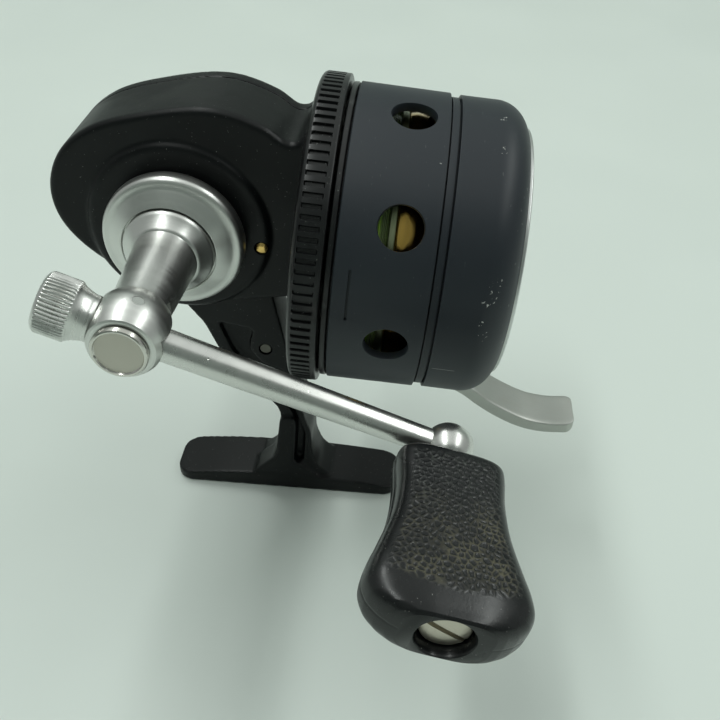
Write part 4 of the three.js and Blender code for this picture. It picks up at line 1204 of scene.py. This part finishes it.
def knob_screw():
    """A slotted shoulder screw through the knob."""
    profile = [(0, 44.5), (1.7, 44.5), (1.9, 44.7), (1.9, 85.9), (4.15, 85.9), (4.3, 86.05)]
    profile += [(4.3, 86.9), (4.15, 87.25), (3.8, 87.45), (2.2, 87.6), (0, 87.66)]
    screw = turned("knob_screw_fine", profile, ON_KNOB, 96)
    stopped = Matrix.Translation((END_BALL.x, 0, END_BALL.z)) @ Matrix.Rotation(KNOB_SLOT_TURN, 4, "Y")
    carve(screw, block("driver_slot", (-6, 6), (-89, -86.85), (-0.5, 0.5), stopped))
    finish_piece(screw, "crank_arm", knob_screw_metal, ["knob_screw"])


# The knob's sections: distance outwards, half width, half thickness.
KNOB_STATIONS = [
    (52.6, 9.3, 4.4), (52.85, 9.7, 5.0), (53.5, 10.05, 5.45), (56, 10.2, 5.6), (62, 10.0, 5.7),
    (69, 10.7, 5.8), (76, 12.6, 5.9), (80, 13.8, 6.0), (83.2, 14.1, 6.0), (85.8, 13.1, 5.9),
    (87.6, 11.2, 5.75), (88.7, 9.2, 5.4), (89.2, 7.6, 5.0),
]
KNOB_RINGS = 210
KNOB_SIDES = 360
KNOB_SQUARENESS = 2 / 3.6


def knob_stations():
    """Distance outwards, half width and half thickness, evenly spaced along the knob's skin."""
    stations = np.array(KNOB_STATIONS)
    steps = np.concatenate([[0], np.cumsum(np.linalg.norm(np.diff(stations, axis=0), axis=1))])
    reach = np.linspace(0, steps[-1], KNOB_RINGS)
    columns = [np.interp(reach, steps, stations[:, 0])]
    for column in (1, 2):
        line = np.array(smooth_line(list(zip(steps, stations[:, column])), 400))
        columns.append(np.interp(reach, line[:, 0], line[:, 1]))
    return list(zip(*columns))


def knob_section(width, thickness):
    """A rounded rectangle's points, evenly spaced round it."""
    turn = np.linspace(0, 2 * math.pi, 4 * KNOB_SIDES + 1)
    c, n = np.cos(turn), np.sin(turn)
    u = width * np.sign(c) * np.abs(c) ** KNOB_SQUARENESS
    h = thickness * np.sign(n) * np.abs(n) ** KNOB_SQUARENESS
    reach = np.concatenate([[0], np.cumsum(np.hypot(np.diff(u), np.diff(h)))])
    even = np.linspace(0, reach[-1], KNOB_SIDES, endpoint=False)
    return zip(np.interp(even, reach, u).tolist(), np.interp(even, reach, h).tolist())


def smooth_step(value, low, high):
    """From 0 at low to 1 at high, level at both."""
    t = np.clip((value - low) / (high - low), 0, 1)
    return t * t * (3 - 2 * t)


class Pebbles:
    """Irregular cells over each face of the knob, in the knob's own flat coordinates."""

    def __init__(self, seed):
        rng = random.Random(seed)
        wander = 0.48 * PEBBLE_PITCH
        self.trees = []
        for _ in range(2):
            spots = []
            rows = int(PEBBLED_LENGTH / PEBBLE_PITCH) + 3
            columns = int(PEBBLED_WIDTH / PEBBLE_PITCH) + 3
            for row in range(rows):
                for column in range(columns):
                    u = (column - columns / 2 + 0.5 * (row % 2)) * PEBBLE_PITCH
                    v = PEBBLES_FROM + row * PEBBLE_PITCH
                    u += rng.uniform(-wander, wander)
                    v += rng.uniform(-wander, wander)
                    spots.append((u, v, 0))
            self.trees.append(tree_of(spots))

    def crease(self, u, v, side):
        """1 in the groove between two cells and 0 on a cell."""
        (_, _, first), (_, _, second) = self.trees[side].find_n((u, v, 0), 2)
        return 1 - float(smooth_step(second - first, 0.02, 0.3))


def knob_relief(u, s, n, width, thickness, pebbles):
    """(height, vein) of the pebbled skin at a point of the knob."""
    share = abs(u) / width
    # the plain border follows the bowed outer end
    outer = 84.6 - 0.016 * u**2
    on_face = 1 - float(smooth_step(share, 0.74, 0.86))
    on_face *= float(smooth_step(abs(n) / thickness, 0.82, 0.93))
    on_face *= float(smooth_step(s, 54.2, 55.6)) * (1 - float(smooth_step(s, outer - 1.6, outer)))
    if on_face <= 0:
        return 0.0, 0.0
    crease = pebbles.crease(u, s, 0 if n > 0 else 1)
    return -PEBBLE_HEIGHT * crease * on_face, crease * on_face


def knob():
    """A flat paddle, wider at its outer end, with pebbled faces and a smooth glossy border."""
    pebbles = Pebbles(7)
    sections = []
    veins = []
    for s, width, thickness in knob_stations():
        section = []
        for u, h in knob_section(width, thickness):
            lift, vein = knob_relief(u, s, h, width, thickness, pebbles)
            # a fine parting line runs round the narrow sides
            seam = 0.12 * math.exp(-((h / 0.22) ** 2)) if abs(u) > 0.8 * width else 0.0
            section.append((s, u - math.copysign(seam, u), h + math.copysign(lift, h)))
            veins.append(vein)
        sections.append(section)
    place = ON_KNOB @ Matrix.Rotation(-KNOB_TURN, 4, "X")
    piece = loft("knob_pebbled", sections, place)
    tree = tree_of([vertex.co for vertex in piece.data.vertices])
    recess = [(0, 85.2), (4.7, 85.2), (4.7, 88.75), (4.95, 89.1), (5.5, 90), (0, 90)]
    carve(
        piece,
        disc("sleeve_bore", 3.05, 40, 85.4, ON_KNOB, 0, 48),
        turned("screw_recess", recess, ON_KNOB, 96),
    )
    layer = piece.data.attributes.new("vein", "FLOAT", "POINT")
    layer.data.foreach_set("value", [veins[tree.find(v.co)[1]] for v in piece.data.vertices])
    finish_piece(piece, "knob", knob_plastic, ["knob"], 40)


# ------------------------------------------------------------------ trigger lever

LEVER_TOP = [
    (2, -33.9), (36, -33.9), (40, -34.6), (43.1, -36), (47.1, -38.8), (51.7, -41.1), (57.2, -43.1),
    (62.4, -43.6), (66.1, -43.2), (69.0, -42.5),
]
LEVER_UNDER = [
    (2, -36.4), (36, -36.4), (39.9, -37.8), (44.1, -40.7), (49.7, -43.8), (55.3, -46),
    (60.5, -46.8), (65.6, -46.4), (68.0, -45.9), (69.2, -45.1),
]
LEVER_ARM = [
    (4, -33.9), (4, -36.4), (-7, -35), (-11.2, -31.6), (-21.4, -19.2), (-22.9, -16.6),
    (-22.6, -13.6), (-20.7, -13.6), (-20.7, -17), (-18, -19.2), (-7.4, -28.2), (-4.6, -29.8),
    (-3, -33.9),
]
LEVER_HALF_WIDTH = 5.5
LEVER_END = 69.0
LEVER_CORNER = 2.3
LEVER_STATIONS = 110


def trigger_lever():
    """A cast strip under the cover that dips and curls up at its squared finger end."""
    top = smooth_line(LEVER_TOP, LEVER_STATIONS)
    under = smooth_line(LEVER_UNDER, LEVER_STATIONS)
    sides = 48
    sections = []
    for k in range(LEVER_STATIONS + 1):
        # the stations crowd together towards the rounded end
        share = math.sin(math.pi / 2 * k / LEVER_STATIONS)
        spot = share * LEVER_STATIONS
        low = min(int(spot), LEVER_STATIONS - 1)
        tx, tz = Vector(top[low]).lerp(Vector(top[low + 1]), spot - low)
        ux, uz = Vector(under[low]).lerp(Vector(under[low + 1]), spot - low)
        # the far corners are rounded in plan, and the end's edges a little too
        past = max(0.0, tx - (LEVER_END - LEVER_CORNER)) / LEVER_CORNER
        half = LEVER_HALF_WIDTH - LEVER_CORNER * (1 - math.sqrt(max(0.0, 1 - min(1.0, past) ** 2)))
        edge = max(0.0, (share - 0.996) / 0.004)
        flat = 1 - 0.3 * edge**2
        middle = Vector(((tx + ux) / 2, (tz + uz) / 2))
        rise = Vector(((tx - ux) / 2, (tz - uz) / 2)) * flat
        section = []
        for side in range(sides):
            angle = 2 * math.pi * side / sides
            c, n = math.cos(angle), math.sin(angle)
            y = half * math.copysign(abs(c) ** 0.2, c)
            lift = math.copysign(abs(n) ** 0.2, n)
            # the upper face is very slightly hollow across
            lift *= 1 - 0.03 * (1 - (y / half) ** 2) if n > 0 else 1
            section.append((middle.x + rise.x * lift, y, middle.y + rise.y * lift))
        sections.append(section)
    blade = loft("trigger_lever_fine", sections)
    half = SLOT_HALF_WIDTH - 0.4
    join(blade, side_plate("lever_inner_arm", soften(LEVER_ARM, 1.2), -half, half))
    carve(blade, cross_pin("lever_bore", PIVOT_BORE_R, TRIGGER_PIVOT.x, TRIGGER_PIVOT.z, -8, 8))
    finish_piece(blade, "trigger", lever_metal, ["trigger_lever"], 34)


# ------------------------------------------------------------------ finishes of the CAD nodes

CAD_FINISHES = {
    bronze: ["pinion_bush", "crank_bush_near", "crank_bush_far", "shaft_bush"],
    brass: ["pinion", "drive_gear", "pin_guide"],
    felt_grey: ["drag_washer"],
    nylon_white: ["knob_sleeve"],
    # darkened as painted shade: these sit deep inside the reel, behind the spool and ring
    shade_dark_steel: ["spool_sleeve", "drag_pressure_plate", "drag_disc"],
    steel: [
        "shaft_clip", "pickup_pin", "crank_shaft", "ratchet_wheel", "pawl", "pawl_pin", "push_link",
    ],
}


def finish_cad_nodes():
    """Inner pieces that keep their CAD shape get a finish of their own."""
    for surface, nodes in CAD_FINISHES.items():
        for node in nodes:
            paint(frame["nodes"][node].data, surface)


# ------------------------------------------------------------------ camera, floor, lights

CAMERA_PLACE = (0.03034, -0.16785, 0.17540)
CAMERA_RIGHT = (0.9959, 0.0880, 0.0218)
CAMERA_AHEAD = (-0.0550, 0.7774, -0.6266)


def camera():
    data = bpy.data.cameras.new("camera")
    data.sensor_width = 36
    data.lens = 43.85
    data.clip_start = 0.01
    right = Vector(CAMERA_RIGHT).normalized()
    ahead = Vector(CAMERA_AHEAD).normalized()
    turn = Matrix((right, right.cross(ahead), -ahead)).transposed().to_4x4()
    cam = link("camera", data)
    cam.matrix_world = Matrix.Translation(CAMERA_PLACE) @ turn
    bpy.context.scene.camera = cam


def floor():
    """A pale sheet that curves up far behind the object."""
    half, rise_from, bend, height = 3.0, 1.2, 0.8, 2.4
    rows = [(-half, 0.0)]
    for turn in quarter(24):
        rows.append((rise_from + bend * math.sin(turn), bend * (1 - math.cos(turn))))
    rows.append((rise_from + bend, height))
    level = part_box("body_casting")[0].z - 0.0002
    vertices = [(x, y, z + level) for y, z in rows for x in (-half, half)]
    faces = [(2 * k, 2 * k + 1, 2 * k + 3, 2 * k + 2) for k in range(len(rows) - 1)]
    mesh = bpy.data.meshes.new("floor")
    mesh.from_pydata(vertices, [], faces)
    mesh.shade_smooth()
    surface = Surface("floor_sheet", (0.70, 0.76, 0.715), 0.45)
    surface.roughen(surface.patches(14, 3, 0.4, 0.7), 0.6)
    surface.colour(surface.patches(6, 3, 0.4, 0.7, 0.35), (0.66, 0.72, 0.685))
    paint(mesh, surface)
    sheet = link("floor", mesh)


def room_wall():
    """A grey wall behind the camera, which the black and metal faces mirror."""
    half, low, high, y = 1.5, 0.05, 1.5, -0.8
    corners = [(-half, y, low), (half, y, low), (half, y, high), (-half, y, high)]
    mesh = bpy.data.meshes.new("room_wall")
    mesh.from_pydata(corners, [], [(0, 1, 2, 3)])
    surface = Surface("wall_grey", (0.26, 0.28, 0.27), 0.9)
    surface.colour(surface.patches(3, 2, 0.4, 0.7, 0.5), (0.20, 0.22, 0.21))
    paint(mesh, surface)
    wall = link("room_wall", mesh)


def strip_light(name, at, aim, size, power, colour):
    data = bpy.data.lights.new(name, "AREA")
    data.shape = "RECTANGLE"
    data.size, data.size_y = size
    data.energy = power
    data.color = colour
    lamp = link(name, data)
    lamp.location = at
    lamp.rotation_euler = (Vector(aim) - Vector(at)).to_track_quat("-Z", "X").to_euler()


def lights():
    cool = (0.95, 1.0, 0.97)
    # two ceiling tubes side by side, running away from the camera, and the soft room light
    strip_light("tube_left", (-0.30, 0.10, 1.05), (-0.30, 0.10, 0), (0.10, 1.3), 5.0, cool)
    strip_light("tube_right", (0.80, 0.10, 1.0), (0.3, 0.10, 0), (0.12, 1.3), 4.0, cool)
    strip_light("ceiling", (0.1, 0.3, 1.4), (0, 0, 0.06), (2.6, 2.6), 6.0, cool)
    world = bpy.data.worlds.new("studio")
    world.use_nodes = True
    background = world.node_tree.nodes["Background"]
    background.inputs["Color"].default_value = (0.83, 0.90, 0.86, 1.0)
    background.inputs["Strength"].default_value = 0.40
    bpy.context.scene.world = world
    bpy.context.scene.view_settings.view_transform = "Standard"


# ------------------------------------------------------------------ build

camera()
floor()
room_wall()
lights()
body_casting()
side_cover()
cover_screws()
lock_pin()
trigger_pivot()
drag_ring()
body_plate()
front_cover()
face_plate()
line_guide()
spool()
wound_line()
spinner_head()
head_nut()
main_shaft()
shaft_spring()
handle_collar()
handle_stem()
fold_pin()
handle_badge()
lock_screw()
crank_arm()
knob_screw()
knob()
trigger_lever()
finish_cad_nodes()
